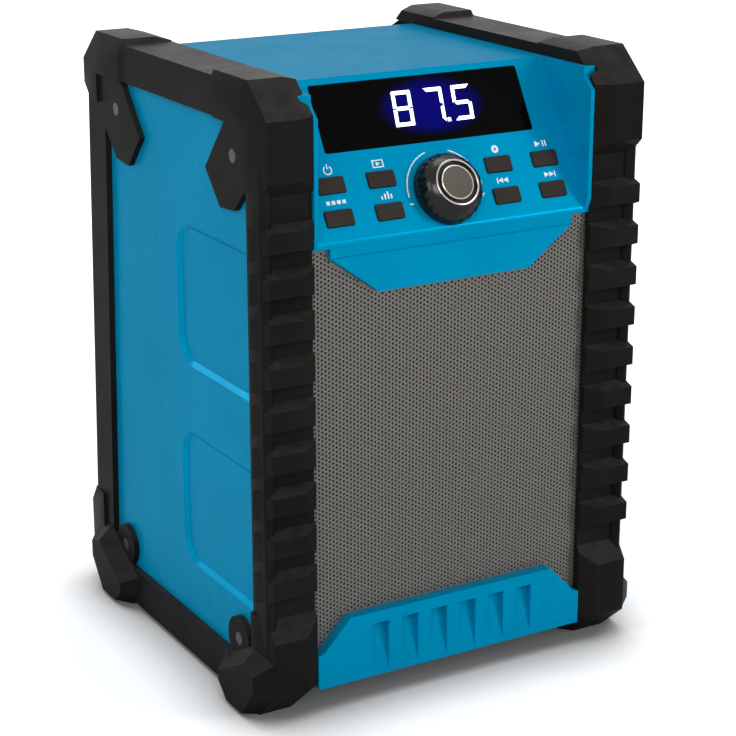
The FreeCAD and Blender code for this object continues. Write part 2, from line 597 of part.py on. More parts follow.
def front_shell():
    """Front moulding: side panels, speaker wall, sloped control panel and front plates."""
    body = new_body("front_shell")
    seam = "seam_place"
    core = [(BAFFLE, "shell_base"), (BAFFLE, "shell_top"), (seam, "shell_top"), (seam, "shell_base")]
    midplane_pad(body, "core", core, "shell_half_width")
    lobe = [(f"{WINDOW_FRONT} + fit_gap", f"{WINDOW_LOW} + fit_gap"),
            (f"{WINDOW_FRONT} + fit_gap", f"{WINDOW_HIGH} - fit_gap"),
            (seam, f"{WINDOW_HIGH} - fit_gap"), (seam, f"{WINDOW_LOW} + fit_gap")]
    midplane_pad(body, "sides", lobe, "side_half_width")
    top_edge = f"{NOSE} + (shell_top - nose_level) / {TAN_PANEL}"
    valley = [(NOSE, "nose_level"), (top_edge, "shell_top"), (top_edge, "shell_top + 10"),
              (f"{FRONT} - 5", "shell_top + 10"), (f"{FRONT} - 5", "nose_level")]
    inner = f"({INNER_X} - fit_gap)"
    midplane_pocket(body, "valley", valley, f"{inner} - cheek_wall")
    nose_deep = f"({BAFFLE} + 1 - {NOSE})"
    nose = [(f"{BAFFLE} + 1", "nose_level - nose_drop"), (f"{NOSE} + 0.6", "nose_level - nose_drop"),
            (NOSE, "nose_level"),
            (f"{BAFFLE} + 1", f"nose_level + {nose_deep} * {TAN_PANEL}")]
    midplane_pad(body, "nose", nose, inner)
    cheek = [(f"{BAFFLE} + 1", "nose_level"), (NOSE, "nose_level"),
             (f"{FRONT} + lip_depth", "nose_level + 5"),
             (f"{FRONT} + lip_depth", "shell_top - cheek_corner"),
             (f"{FRONT} + lip_depth + cheek_corner + 1", "shell_top"),
             (f"{BAFFLE} + 8", "shell_top")]
    for side, lift in (("right", f"{inner} - cheek_wall"), ("left", f"-{inner}")):
        pad(body, f"cheek_{side}", polygon(body, f"cheek_{side}_outline", "YZ_Plane", cheek, lift),
            "cheek_wall")
    apron = [("-apron_half_top", "nose_level"), ("apron_half_top", "nose_level"),
             ("apron_half_top", "apron_ledge"), ("apron_half_low", "apron_low"),
             ("-apron_half_low", "apron_low"), ("-apron_half_top", "apron_ledge")]
    pad(body, "apron", polygon(body, "apron_outline", "XZ_Plane", apron, f"-({BAFFLE})"),
        "baffle_place - nose_place - apron_step")
    ledge = [("-apron_half_top + 0.8", "apron_ledge"), ("apron_half_top - 0.8", "apron_ledge"),
             ("apron_half_low", "apron_low"), ("-apron_half_low", "apron_low")]
    pad(body, "apron_face", polygon(body, "apron_face_outline", "XZ_Plane", ledge, f"-({BAFFLE})"),
        "baffle_place - nose_place")
    skirt = [(f"-{inner}", "shell_base"), (f"-{inner}", "skirt_knee - 1"), ("-skirt_knee_half", "skirt_knee"),
             ("-skirt_half_top", "skirt_top"), ("skirt_half_top", "skirt_top"),
             ("skirt_knee_half", "skirt_knee"),
             (inner, "skirt_knee - 1"), (inner, "shell_base")]
    pad(body, "skirt", polygon(body, "skirt_outline", "XZ_Plane", skirt, f"-({BAFFLE})"),
        "baffle_place - skirt_place")
    middle = f"{BAFFLE} + baffle_wall"
    skin = f"panel_wall / {SIN_PANEL}"
    hollow = [(middle, "shell_base + shell_wall"),
              (middle, f"nose_level + ({middle} - {NOSE} - {skin}) * {TAN_PANEL}"),
              (f"{top_edge} + {skin} - shell_wall / {TAN_PANEL}", "shell_top - shell_wall"),
              (f"{seam} + 1", "shell_top - shell_wall"), (f"{seam} + 1", "shell_base + shell_wall")]
    midplane_pocket(body, "hollow", hollow, "shell_half_width - shell_wall")
    side_hollow = [(f"{WINDOW_FRONT} + fit_gap + shell_wall", f"{WINDOW_LOW} + fit_gap + shell_wall"),
                   (f"{WINDOW_FRONT} + fit_gap + shell_wall", f"{WINDOW_HIGH} - fit_gap - shell_wall"),
                   (f"{seam} + 1", f"{WINDOW_HIGH} - fit_gap - shell_wall"),
                   (f"{seam} + 1", f"{WINDOW_LOW} + fit_gap + shell_wall")]
    hollow_sides(body, side_hollow)
    add_slots(body)
    add_side_pockets(body)
    add_panel_openings(body)
    opening = circles(body, "speaker_disc", "XZ_Plane", [("0", "speaker_level", "speaker_opening")],
                      f"-({BAFFLE}) + 1")
    pocket(body, "speaker_hole", opening, "baffle_wall + 2", back=False)
    drill_speaker_holes(body)
    pilot_holes(body, "frame", [EAR_SCREWS[0], EAR_SCREWS[2]])
    add_bosses(body, seam, "26", "26", back=False)
    pilots = circles(body, "boss_pilot_discs", "XZ_Plane",
                     [(x, z, "screw_radius + 0.1") for x, z in SHELL_SCREWS], f"-({seam})")
    pocket(body, "boss_pilots", pilots, "20", back=True)
    return body


def hollow_sides(body, outline):
    """Hollow both side panels, outside the walls of the middle block."""
    for side, lift in (("right", "shell_half_width"), ("left", "-shell_half_width")):
        sketch = polygon(body, f"side_hollow_{side}_outline", "YZ_Plane", outline, lift)
        pocket(body, f"side_hollow_{side}", sketch, "side_half_width - side_wall - shell_half_width",
               back=(side == "right"))


def add_slots(body):
    """Upright recesses in the lower front plate, deep at the top and running out below."""
    face = f"({FRONT} + skirt_place)"
    wedge = [(f"{face} - 1", "slot_top"), (f"{face} + slot_deep", "slot_top"),
             (face, "slot_low"), (f"{face} - 1", "slot_low")]
    for i in range(6):
        edge = f"({i} - 2.5) * slot_pitch - slot_width / 2"
        sketch = polygon(body, f"slot_{i}_outline", "YZ_Plane", wedge, edge)
        pocket(body, f"slot_{i}", sketch, "slot_width", back=True)


def add_side_pockets(body):
    """Two shallow round-cornered pockets in each side panel, running under the front post."""
    for i in range(2):
        low = f"pocket_low + {i} * pocket_pitch"
        for side, lift in (("right", "side_half_width"), ("left", "-side_half_width")):
            sketch = rounded(body, f"side_pocket_{side}_{i}_outline", "YZ_Plane", f"{WINDOW_FRONT} - 20", low,
                             "pocket_rear", f"{low} + pocket_rise", "pocket_round", lift)
            pocket(body, f"side_pocket_{side}_{i}", sketch, "pocket_deep", back=(side == "left"))


BUTTONS = [
    ("power_button", "-button_outer", "row_upper"),
    ("source_button", "-button_inner", "row_upper"),
    ("preset_button", "-button_outer", "row_lower"),
    ("band_button", "-button_inner", "row_lower"),
    ("pair_button", "button_inner", "row_upper"),
    ("play_button", "button_outer", "row_upper"),
    ("previous_button", "button_inner", "row_lower"),
    ("next_button", "button_outer", "row_lower"),
]


def add_panel_openings(body):
    """Window, button holes and shaft hole in the sloped panel."""
    half, rise = "(lens_width / 2)", "(lens_rise / 2)"
    seat = rounded(body, "lens_seat_outline", "XY_Plane", f"-{half} - fit_gap",
                   f"lens_along - {rise} - fit_gap",
                   f"{half} + fit_gap", f"lens_along + {rise} + fit_gap", "1 + fit_gap", "0", "panel")
    pocket(body, "lens_seat", seat, "lens_thick + fit_gap")
    through = rounded(body, "lens_hole_outline", "XY_Plane", f"-{half} + lens_ledge",
                      f"lens_along - {rise} + lens_ledge",
                      f"{half} - lens_ledge", f"lens_along + {rise} - lens_ledge", "1", "0", "panel")
    pocket(body, "lens_hole", through, "panel_wall + 2")
    for name, u, v in BUTTONS:
        sketch = rounded(body, f"{name}_hole_outline", "XY_Plane",
                         f"{u} - button_width / 2 - button_gap", f"{v} - button_rise / 2 - button_gap",
                         f"{u} + button_width / 2 + button_gap", f"{v} + button_rise / 2 + button_gap",
                         "button_round + button_gap", "1", "panel")
        pocket(body, f"{name}_hole", sketch, "panel_wall + 2")
    low, high = "row_lower - button_rise / 2 - 1.5", "row_lower + button_rise / 2"
    side = "button_outer + button_width / 2 + 1.5"
    room = [(f"-({side})", low), (side, low), (side, high), (f"-({side})", high)]
    sketch = polygon(body, "button_room_outline", "XY_Plane", room, "-panel_wall", "panel")
    pocket(body, "button_room", sketch, "button_flange + button_travel + 1.3")
    shaft = circles(body, "shaft_hole_disc", "XY_Plane", [("0", "knob_along", "shaft_radius + 1.5")], "1",
                    "panel")
    pocket(body, "shaft_hole", shaft, "panel_wall + 2")


def rear_shell():
    """Rear moulding: leaning back, shoulder, battery opening, socket recess and hinge lugs."""
    body = new_body("rear_shell")
    seam = "(seam_place + 0.15)"
    shoulder = "shell_top - shoulder_drop"
    core = [(seam, "shell_base"), (seam, "shell_top"), ("shoulder_place", "shell_top"),
            (shell_rear(shoulder), shoulder), (shell_rear("shell_base"), "shell_base")]
    midplane_pad(body, "core", core, "shell_half_width")
    low, high = f"{WINDOW_LOW} + fit_gap", f"{WINDOW_HIGH} - fit_gap"
    lobe = [(seam, low), (seam, high), (f"{rear_window(high)} - fit_gap", high),
            (f"{rear_window(low)} - fit_gap", low)]
    midplane_pad(body, "sides", lobe, "side_half_width")
    wall = "shell_wall"
    back = "rear_wall"
    hollow = [(f"{seam} - 1", f"shell_base + {wall}"), (f"{seam} - 1", f"shell_top - {wall}"),
              ("shoulder_place - 1", f"shell_top - {wall}"),
              (shell_rear(f"{shoulder} - {wall}", back), f"{shoulder} - {wall}"),
              (shell_rear(f"shell_base + {wall}", back), f"shell_base + {wall}")]
    midplane_pocket(body, "hollow", hollow, f"shell_half_width - {wall}")
    low_in, high_in = f"{low} + {wall}", f"{high} - {wall}"
    side_hollow = [(f"{seam} - 1", low_in), (f"{seam} - 1", high_in),
                   (f"{rear_window(high_in)} - fit_gap - {wall}", high_in),
                   (f"{rear_window(low_in)} - fit_gap - {wall}", low_in)]
    hollow_sides(body, side_hollow)
    reach = f"{REAR} + 5"
    door = [("-door_half_width", "door_low"), ("door_half_width", "door_low"),
            ("door_half_width", "door_high"), ("-door_half_width", "door_high")]
    pocket(body, "door_opening", polygon(body, "door_opening_outline", "XZ_Plane", door, f"-({reach})"),
           "30", back=True)
    flap = [("flap_left", "flap_low"), ("flap_right", "flap_low"), ("flap_right", "flap_high"),
            ("flap_left", "flap_high")]
    pocket(body, "socket_opening", polygon(body, "socket_opening_outline", "XZ_Plane", flap, f"-({reach})"),
           "30", back=True)
    hole = circles(body, "antenna_hole_disc", "XZ_Plane", [("antenna_place", "antenna_level", "5.2")],
                   f"-({reach})")
    pocket(body, "antenna_hole", hole, "30", back=True)
    add_hinge_seat(body)
    pilot_holes(body, "frame", [EAR_SCREWS[1], EAR_SCREWS[3]])
    add_bosses(body, seam, f"{shell_rear('shell_top - 24', '2')} - {seam}", f"shoulder_place - {seam} - 3",
               back=True)
    bores = circles(body, "boss_bore_discs", "XZ_Plane",
                    [(x, z, "screw_radius + 0.1") for x, z in SHELL_SCREWS], f"-({seam}) + 1")
    pocket(body, "boss_bores", bores, "90", back=False)
    sinks = circles(body, "boss_sink_discs", "XZ_Plane",
                    [(x, z, "screw_head + fit_gap") for x, z in SHELL_SCREWS],
                    f"-({SINK_FLOOR})")
    pocket(body, "boss_sinks", sinks, "40", back=False)
    return body


HINGE_Z = "(door_low - hinge_drop)"
HINGE_Y = f"({shell_rear(HINGE_Z)} - 1)"


def add_hinge_seat(body):
    """Round groove for the door's barrel, and the two lugs that hold its pin."""
    groove = circles(body, "hinge_groove_disc", "YZ_Plane", [(HINGE_Y, HINGE_Z, "hinge_radius + 0.5")])
    pocket(body, "hinge_groove", groove, "2 * (lug_outer + 1)", "Symmetric")
    mouth = [(f"{HINGE_Y} - hinge_radius - 0.5", HINGE_Z),
             (f"{HINGE_Y} - hinge_radius - 0.5", "door_low + 1"),
             (f"{HINGE_Y} + 6", "door_low + 1"), (f"{HINGE_Y} + 6", HINGE_Z)]
    midplane_pocket(body, "hinge_mouth", mouth, "lug_outer + 1")
    for side, lift in (("right", "lug_inner"), ("left", "-lug_outer")):
        lug = circles(body, f"lug_{side}_disc", "YZ_Plane", [(HINGE_Y, HINGE_Z, "hinge_radius")], lift)
        pad(body, f"lug_{side}", lug, "lug_outer - lug_inner")
        web = [(f"{HINGE_Y} - hinge_radius", f"{HINGE_Z} - 6"), (f"{HINGE_Y} - hinge_radius", HINGE_Z),
               (f"{HINGE_Y} + 1", HINGE_Z), (f"{HINGE_Y} + 1", f"{HINGE_Z} - 6")]
        pad(body, f"lug_web_{side}", polygon(body, f"lug_web_{side}_outline", "YZ_Plane", web, lift),
            "lug_outer - lug_inner")
    bore = circles(body, "hinge_bore_disc", "YZ_Plane", [(HINGE_Y, HINGE_Z, "hinge_pin_radius + 0.03")])
    pocket(body, "hinge_bore", bore, "2 * lug_outer", "Symmetric")


def battery_parts():
    """Battery tray, pack, hinged door and its pin."""
    door = new_body("battery_door")
    edge = "0.4"
    low, high = f"door_low + {edge}", f"door_high - {edge}"
    leaf = [(shell_rear(low, "door_thick"), low), (shell_rear(high, "door_thick"), high),
            (shell_rear(high), high), (shell_rear(low), low)]
    midplane_pad(door, "leaf", leaf, f"door_half_width - {edge}")
    knuckle = circles(door, "knuckle_disc", "YZ_Plane", [(HINGE_Y, HINGE_Z, "hinge_radius")])
    pad(door, "knuckle", knuckle, "2 * (lug_inner - 0.3)", "Symmetric")
    web = [(f"{HINGE_Y} - 1.2", HINGE_Z), (f"{HINGE_Y} - 1.2", f"{low} + 1"),
           (f"{HINGE_Y} + 1", f"{low} + 1"), (f"{HINGE_Y} + 1", HINGE_Z)]
    midplane_pad(door, "knuckle_web", web, "lug_inner - 0.3")
    bore = circles(door, "knuckle_bore_disc", "YZ_Plane",
                   [(HINGE_Y, HINGE_Z, "hinge_pin_radius + running_gap")])
    pocket(door, "knuckle_bore", bore, "2 * lug_inner", "Symmetric")
    ribs = [(f"({i} - 2) * 9 - 2", f"({i} - 2) * 9 + 2") for i in range(5)]
    for i, (left, right) in enumerate(ribs):
        grip = rounded(door, f"grip_{i}_outline", "XZ_Plane", left, "door_high - 18", right,
                       "door_high - 6", "1.5",
                       f"-({shell_rear('door_high - 12')}) - 2")
        pocket(door, f"grip_{i}", grip, "3", back=True)
    pin = cylinder("hinge_pin", "hinge_pin_radius", "2 * (lug_outer - 0.3)",
                   ("-lug_outer + 0.3", HINGE_Y, HINGE_Z), (1, 0, 0))
    pin.Label = "hinge_pin"
    FINISHED.append(pin)
    tray = new_body("battery_tray")
    rim = "rear_wall + 0.05"
    deep = "bay_deep"
    base_low, base_high = "door_low + 0.6", "door_high + 2"
    mouth_low, mouth_high = f"{base_low} + bay_wall", "door_high - 1.5"
    outer = [(shell_rear(base_low, deep), base_low), (shell_rear(base_low, deep), base_high),
             (shell_rear(base_high, rim), base_high), (shell_rear(base_low, rim), base_low)]
    midplane_pad(tray, "box", outer, "door_half_width + 2")
    inner = [(f"{shell_rear(base_low, deep)} + bay_wall", mouth_low),
             (f"{shell_rear(base_low, deep)} + bay_wall", mouth_high),
             (f"{REAR}", mouth_high), (f"{REAR}", mouth_low)]
    midplane_pocket(tray, "bay", inner, "door_half_width - 1.5")
    pack = new_body("battery_pack")
    play = "0.3"
    cell = [(f"{shell_rear(base_low, deep)} + bay_wall + {play}", f"{mouth_low} + {play}"),
            (f"{shell_rear(base_low, deep)} + bay_wall + {play}", f"{mouth_high} - {play}"),
            (shell_rear(mouth_high, "rear_wall + 2"), f"{mouth_high} - {play}"),
            (shell_rear(mouth_high, "rear_wall + 2"), f"{mouth_low} + {play}")]
    midplane_pad(pack, "block", cell, f"door_half_width - 1.5 - {play}")


def socket_parts():
    """Socket plate, its three sockets and the rubber flap over them."""
    plate = new_body("socket_plate")
    inset = "0.3"
    low, high = f"flap_low + {inset}", f"flap_high - {inset}"
    middle = "((flap_left + flap_right) / 2)"
    half = f"((flap_right - flap_left) / 2 - {inset})"
    lift = "flap_left + " + inset
    front = f"{shell_rear(high, 'plate_deep')}"
    plate_low, plate_high = "flap_low - 2", "flap_high + 2"
    outline = [(front, plate_low), (front, plate_high),
               (shell_rear(plate_high, "rear_wall + 0.05"), plate_high),
               (shell_rear(plate_low, "rear_wall + 0.05"), plate_low)]
    pad(plate, "plate", polygon(plate, "plate_outline", "YZ_Plane", outline, "flap_left - 2"),
        "flap_right - flap_left + 4")
    well = [("flap_left + 2", "flap_low + 2"), ("flap_right - 2", "flap_low + 2"),
            ("flap_right - 2", "flap_high - 2"), ("flap_left + 2", "flap_high - 2")]
    pocket(plate, "well", polygon(plate, "well_outline", "XZ_Plane", well, f"-({front} + 3)"), "12",
           back=False)
    level = "((flap_low + flap_high) / 2)"
    holes = [(f"{middle} - jack_pitch", level, "4.2"), (middle, level, "3.2")]
    pocket(plate, "jack_holes", circles(plate, "jack_hole_discs", "XZ_Plane", holes, f"-({front} + 3.5)"),
           "4", back=True)
    window = [(f"{middle} + jack_pitch - 6.6", f"{level} - 2.9"),
              (f"{middle} + jack_pitch + 6.6", f"{level} - 2.9"),
              (f"{middle} + jack_pitch + 6.6", f"{level} + 2.9"),
              (f"{middle} + jack_pitch - 6.6", f"{level} + 2.9")]
    pocket(plate, "data_hole", polygon(plate, "data_hole_outline", "XZ_Plane", window, f"-({front} + 3.5)"),
           "4", back=True)
    for label, u, outer, inner, pin in (("power_socket", f"{middle} - jack_pitch", "4", "3", "1"),
                                        ("audio_socket", middle, "3", "1.8", None)):
        jack = new_body(label)
        pad(jack, "barrel", circles(jack, "barrel_disc", "XZ_Plane", [(u, level, outer)],
                                    f"-({front} + 3)"), "13")
        pocket(jack, "mouth", circles(jack, "mouth_disc", "XZ_Plane", [(u, level, inner)],
                                      f"-({front} + 3.5)"), "12", back=True)
        if pin:
            pad(jack, "pin", circles(jack, "pin_disc", "XZ_Plane", [(u, level, pin)], f"-({front} + 2)"),
                "11")
    data = new_body("data_socket")
    u = f"{middle} + jack_pitch"
    shell = [(f"{u} - 6.4", f"{level} - 2.7"), (f"{u} + 6.4", f"{level} - 2.7"),
             (f"{u} + 6.4", f"{level} + 2.7"), (f"{u} - 6.4", f"{level} + 2.7")]
    pad(data, "can", polygon(data, "can_outline", "XZ_Plane", shell, f"-({front} + 3)"), "13")
    mouth = [(f"{u} - 6", f"{level} - 2.3"), (f"{u} + 6", f"{level} - 2.3"),
             (f"{u} + 6", f"{level} + 2.3"), (f"{u} - 6", f"{level} + 2.3")]
    pocket(data, "mouth", polygon(data, "mouth_outline", "XZ_Plane", mouth, f"-({front} + 3.5)"), "11",
           back=True)
    tongue = [(f"{u} - 5.4", f"{level}"), (f"{u} + 5.4", f"{level}"), (f"{u} + 5.4", f"{level} + 1.6"),
              (f"{u} - 5.4", f"{level} + 1.6")]
    pad(data, "tongue", polygon(data, "tongue_outline", "XZ_Plane", tongue, f"-({front} + 2)"), "10")
    flap = new_body("socket_flap")
    top = FLAP_Z
    leaf = [(shell_rear(low, "flap_thick"), low), (shell_rear(top, "flap_thick"), top),
            (shell_rear(top), top), (shell_rear(low), low)]
    pad(flap, "leaf", polygon(flap, "leaf_outline", "YZ_Plane", leaf, lift), f"2 * {half}")
    bead = circles(flap, "bead_disc", "YZ_Plane", [(FLAP_Y, FLAP_Z, "flap_bead")], lift)
    pad(flap, "bead", bead, f"2 * {half}")
    tab = [("flap_right - 14", "flap_low + 3.5"), ("flap_right - 4", "flap_low + 3.5"),
           ("flap_right - 4", "flap_low + 6"), ("flap_right - 14", "flap_low + 6")]
    pad(flap, "tab", polygon(flap, "tab_outline", "XZ_Plane", tab, f"-({shell_rear('flap_low')}) + 1"), "3",
        back=True)


FLAP_Z = "(flap_high - 0.3 - flap_bead)"
FLAP_Y = f"({shell_rear(FLAP_Z)} - flap_thick / 2)"


def panel_parts():
    """Window, display module, buttons, board, switches and encoder behind the panel."""
    half, rise = "(lens_width / 2)", "(lens_rise / 2)"
    lens = new_body("display_lens")
    sketch = rounded(lens, "lens_outline", "XY_Plane", f"-{half}", f"lens_along - {rise}", half,
                     f"lens_along + {rise}",
                     "1", "-lens_thick", "panel")
    pad(lens, "window", sketch, "lens_thick")
    module = new_body("display_module")
    deep = "(panel_wall + board_gap)"
    sketch = rounded(module, "module_outline", "XY_Plane", f"-{half} + 4", f"lens_along - {rise} + 4",
                     f"{half} - 4",
                     f"lens_along + {rise} - 4", "1", f"-{deep} + 0.1", "panel")
    pad(module, "case", sketch, f"{deep} - lens_thick - 0.6")
    for name, u, v in BUTTONS:
        add_button(name, u, v)
    board = new_body("control_board")
    low_edge, high_edge = "row_lower - 8", "lens_along + 12"
    sketch = rounded(board, "board_outline", "XY_Plane", "-button_outer - 10", low_edge,
                     "button_outer + 10", high_edge, "2",
                     f"-{deep} - board_thick", "panel")
    pad(board, "board", sketch, "board_thick")
    tap = circles(board, "board_hole_disc", "XY_Plane", [("0", "knob_along", "shaft_radius + 1")],
                  f"-{deep} + 1", "panel")
    pocket(board, "board_hole", tap, "board_thick + 2")
    posts = new_body("board_posts")
    spots = [(side + "(button_outer + 2)", along) for side in ("-", "") for along in ("row_lower + 7.4",
                                                                                      "lens_along - rise_half")]
    spots = [(u, v.replace("rise_half", "12")) for u, v in spots]
    sketch = circles(posts, "post_discs", "XY_Plane", [(u, v, "2.6") for u, v in spots], f"-{deep} + 0.05",
                     "panel")
    pad(posts, "posts", sketch, "board_gap - 0.1")
    switches = new_body("tact_switches")
    discs = [(u, v, "3") for name, u, v in BUTTONS]
    sketch = circles(switches, "switch_discs", "XY_Plane", discs, f"-{deep} + 0.05", "panel")
    stem = "board_gap - button_flange - button_travel - 0.65"
    pad(switches, "switch_cans", sketch, stem)
    encoder = new_body("volume_encoder")
    case = rounded(encoder, "case_outline", "XY_Plane", "-6", "knob_along - 6", "6", "knob_along + 6", "1",
                   f"-{deep} + 0.05", "panel")
    pad(encoder, "case", case, "board_gap - 0.1")
    bush = circles(encoder, "bush_disc", "XY_Plane", [("0", "knob_along", "shaft_radius + 1.3")],
                   "-panel_wall - 0.1", "panel")
    pad(encoder, "bush", bush, "panel_wall")
    bore = circles(encoder, "bore_disc", "XY_Plane", [("0", "knob_along", "shaft_radius + running_gap")],
                   "1", "panel")
    pocket(encoder, "bore", bore, "panel_wall + board_gap")


def add_button(name, u, v):
    """A button cap with a rim under the panel, which the panel's wall holds in."""
    button = new_body(name)
    cap = rounded(button, "cap_outline", "XY_Plane", f"{u} - button_width / 2", f"{v} - button_rise / 2",
                  f"{u} + button_width / 2", f"{v} + button_rise / 2", "button_round", "-panel_wall - 0.5",
                  "panel")
    pad(button, "cap", cap, "panel_wall + 0.5 + button_proud")
    rim = rounded(button, "rim_outline", "XY_Plane", f"{u} - button_width / 2 - 1",
                  f"{v} - button_rise / 2 - 1",
                  f"{u} + button_width / 2 + 1", f"{v} + button_rise / 2 + 1", "button_round + 1",
                  "-panel_wall - 0.3 - button_flange", "panel")
    pad(button, "rim", rim, "button_flange")
    return button


def knob_parts():
    """Turned knob with a ring and a disc let into its top, on the encoder's shaft."""
    lift = "knob_lift"

    def turned(label, outline):
        body = new_body(label)
        sketch = body.newObject("Sketcher::SketchObject", "outline")
        sketch.AttachmentSupport = (origin_plane(body, "YZ_Plane"), [""])
        sketch.MapMode = "FlatFace"
        tilt = Rotation(Vector(0, 0, 1), value("panel_angle"))
        sketch.AttachmentOffset = Placement(Vector(0, 0, 0), tilt)
        sketch.setExpression("AttachmentOffset.Rotation.Angle", bind("panel_angle * 1deg"))
        place = on_panel("0", "knob_along", "0")
        sketch.setExpression("AttachmentOffset.Base.x", bind(place[1]))
        sketch.setExpression("AttachmentOffset.Base.y", bind(place[2]))
        points = [Vector(value(r), value(height), 0) for r, height in outline]
        count = len(points)
        for i in range(count):
            sketch.addGeometry(Part.LineSegment(points[i], points[(i + 1) % count]), False)
        for i in range(count):
            sketch.addConstraint(Sketcher.Constraint("Coincident", i, 2, (i + 1) % count, 1))
        for i, (r, height) in enumerate(outline):
            hold(sketch, "DistanceX", i, 1, r)
            hold(sketch, "DistanceY", i, 1, height)
        turn = body.newObject("PartDesign::Revolution", "turn")
        turn.Profile = sketch
        turn.ReferenceAxis = (sketch, ["V_Axis"])
        turn.Angle = 360
        return body

    top = f"{lift} + knob_height"
    bore = "shaft_radius + 0.02"
    seat = f"{top} - 1.6"
    turned("knob_body", [
        (bore, lift), ("knob_radius", lift), ("knob_radius", f"{lift} + 3.2"),
        ("knob_radius - 0.7", f"{lift} + 5.6"),
        ("knob_waist + 0.6", f"{top} - 4.2"), ("knob_waist", f"{top} - 1.4"),
        ("knob_ring_radius + 0.4", f"{top} - 0.4"),
        ("knob_ring_radius", f"{top} - 0.4"), ("knob_ring_radius", seat), (bore, seat)])
    turned("knob_ring", [("knob_cap_radius + 0.1", seat), ("knob_ring_radius - 0.05", seat),
                         ("knob_ring_radius - 0.05", top),
                         ("knob_ring_radius - 1", f"{top} + 0.3"), ("knob_ring_radius - 1.6", f"{top} - 0.9"),
                         ("knob_cap_radius + 0.8", f"{top} - 0.9"),
                         ("knob_cap_radius + 0.1", f"{top} - 0.2")])
    turned("knob_cap", [("0", seat), ("knob_cap_radius", seat), ("knob_cap_radius", f"{top} - 0.4"),
                        ("0", f"{top} - 0.1")])
    turned("encoder_shaft", [("0", "-panel_wall - board_gap + 1.5"),
                             ("shaft_radius", "-panel_wall - board_gap + 1.5"),
                             ("shaft_radius", f"{seat} - 0.05"), ("0", f"{seat} - 0.05")])


def front_sheet(label, back, thick, inset):
    """A flat sheet over the speaker wall, cut out round the two blue plates."""
    body = new_body(label)
    half = f"(grille_half_width - {inset})"
    outline = [(f"-{half}", f"grille_low + {inset}"), (half, f"grille_low + {inset}"),
               (half, f"grille_high - {inset}"), (f"-{half}", f"grille_high - {inset}")]
    pad(body, "sheet", polygon(body, "sheet_outline", "XZ_Plane", outline, f"-({back})"), thick)
    gap = f"(0.15 + {inset})"
    cut_top = [(f"-apron_half_top - {gap}", "grille_high + 1"),
               (f"apron_half_top + {gap}", "grille_high + 1"),
               (f"apron_half_top + {gap}", f"apron_ledge - {gap}"),
               (f"apron_half_low + {gap}", f"apron_low - {gap}"),
               (f"-apron_half_low - {gap}", f"apron_low - {gap}"),
               (f"-apron_half_top - {gap}", f"apron_ledge - {gap}")]
    sketch = polygon(body, "apron_notch_outline", "XZ_Plane", cut_top, f"-({back}) - 1")
    pocket(body, "apron_notch", sketch, f"{thick} + 2", back=True)
    knee = f"skirt_knee - 1 + {gap}"
    cut_low = [("-grille_half_width - 1", "grille_low - 1"), ("-grille_half_width - 1", knee),
               (f"-skirt_knee_half - {gap}", f"skirt_knee + {gap}"),
               (f"-skirt_half_top - {gap}", f"skirt_top + {gap}"),
               (f"skirt_half_top + {gap}", f"skirt_top + {gap}"),
               (f"skirt_knee_half + {gap}", f"skirt_knee + {gap}"),
               ("grille_half_width + 1", knee), ("grille_half_width + 1", "grille_low - 1")]
    sketch = polygon(body, "skirt_notch_outline", "XZ_Plane", cut_low, f"-({back}) - 1")
    pocket(body, "skirt_notch", sketch, f"{thick} + 2", back=True)


def grille_parts():
    """Punched steel grille, with thin black cloth between it and the speaker wall."""
    front_sheet("grille", SHEET, "grille_thick", "0")
    front_sheet("grille_cloth", f"({BAFFLE} - 0.05)", "cloth_thick", "0.6")


SPEAKER_SCREWS = [(f"{i} * (speaker_flange - 2.5) * cos(45deg)",
                   f"speaker_level + {j} * (speaker_flange - 2.5) * sin(45deg)")
                  for i in (-1, 1) for j in (-1, 1)]


def drill_speaker_holes(body):
    """Holes for the four speaker screws."""
    discs = [(x, z, "screw_radius - 0.15") for x, z in SPEAKER_SCREWS]
    pocket(body, "speaker_screw_holes", circles(body, "speaker_screw_discs", "XZ_Plane", discs,
                                                f"-({BAFFLE})"), "baffle_wall + 5")


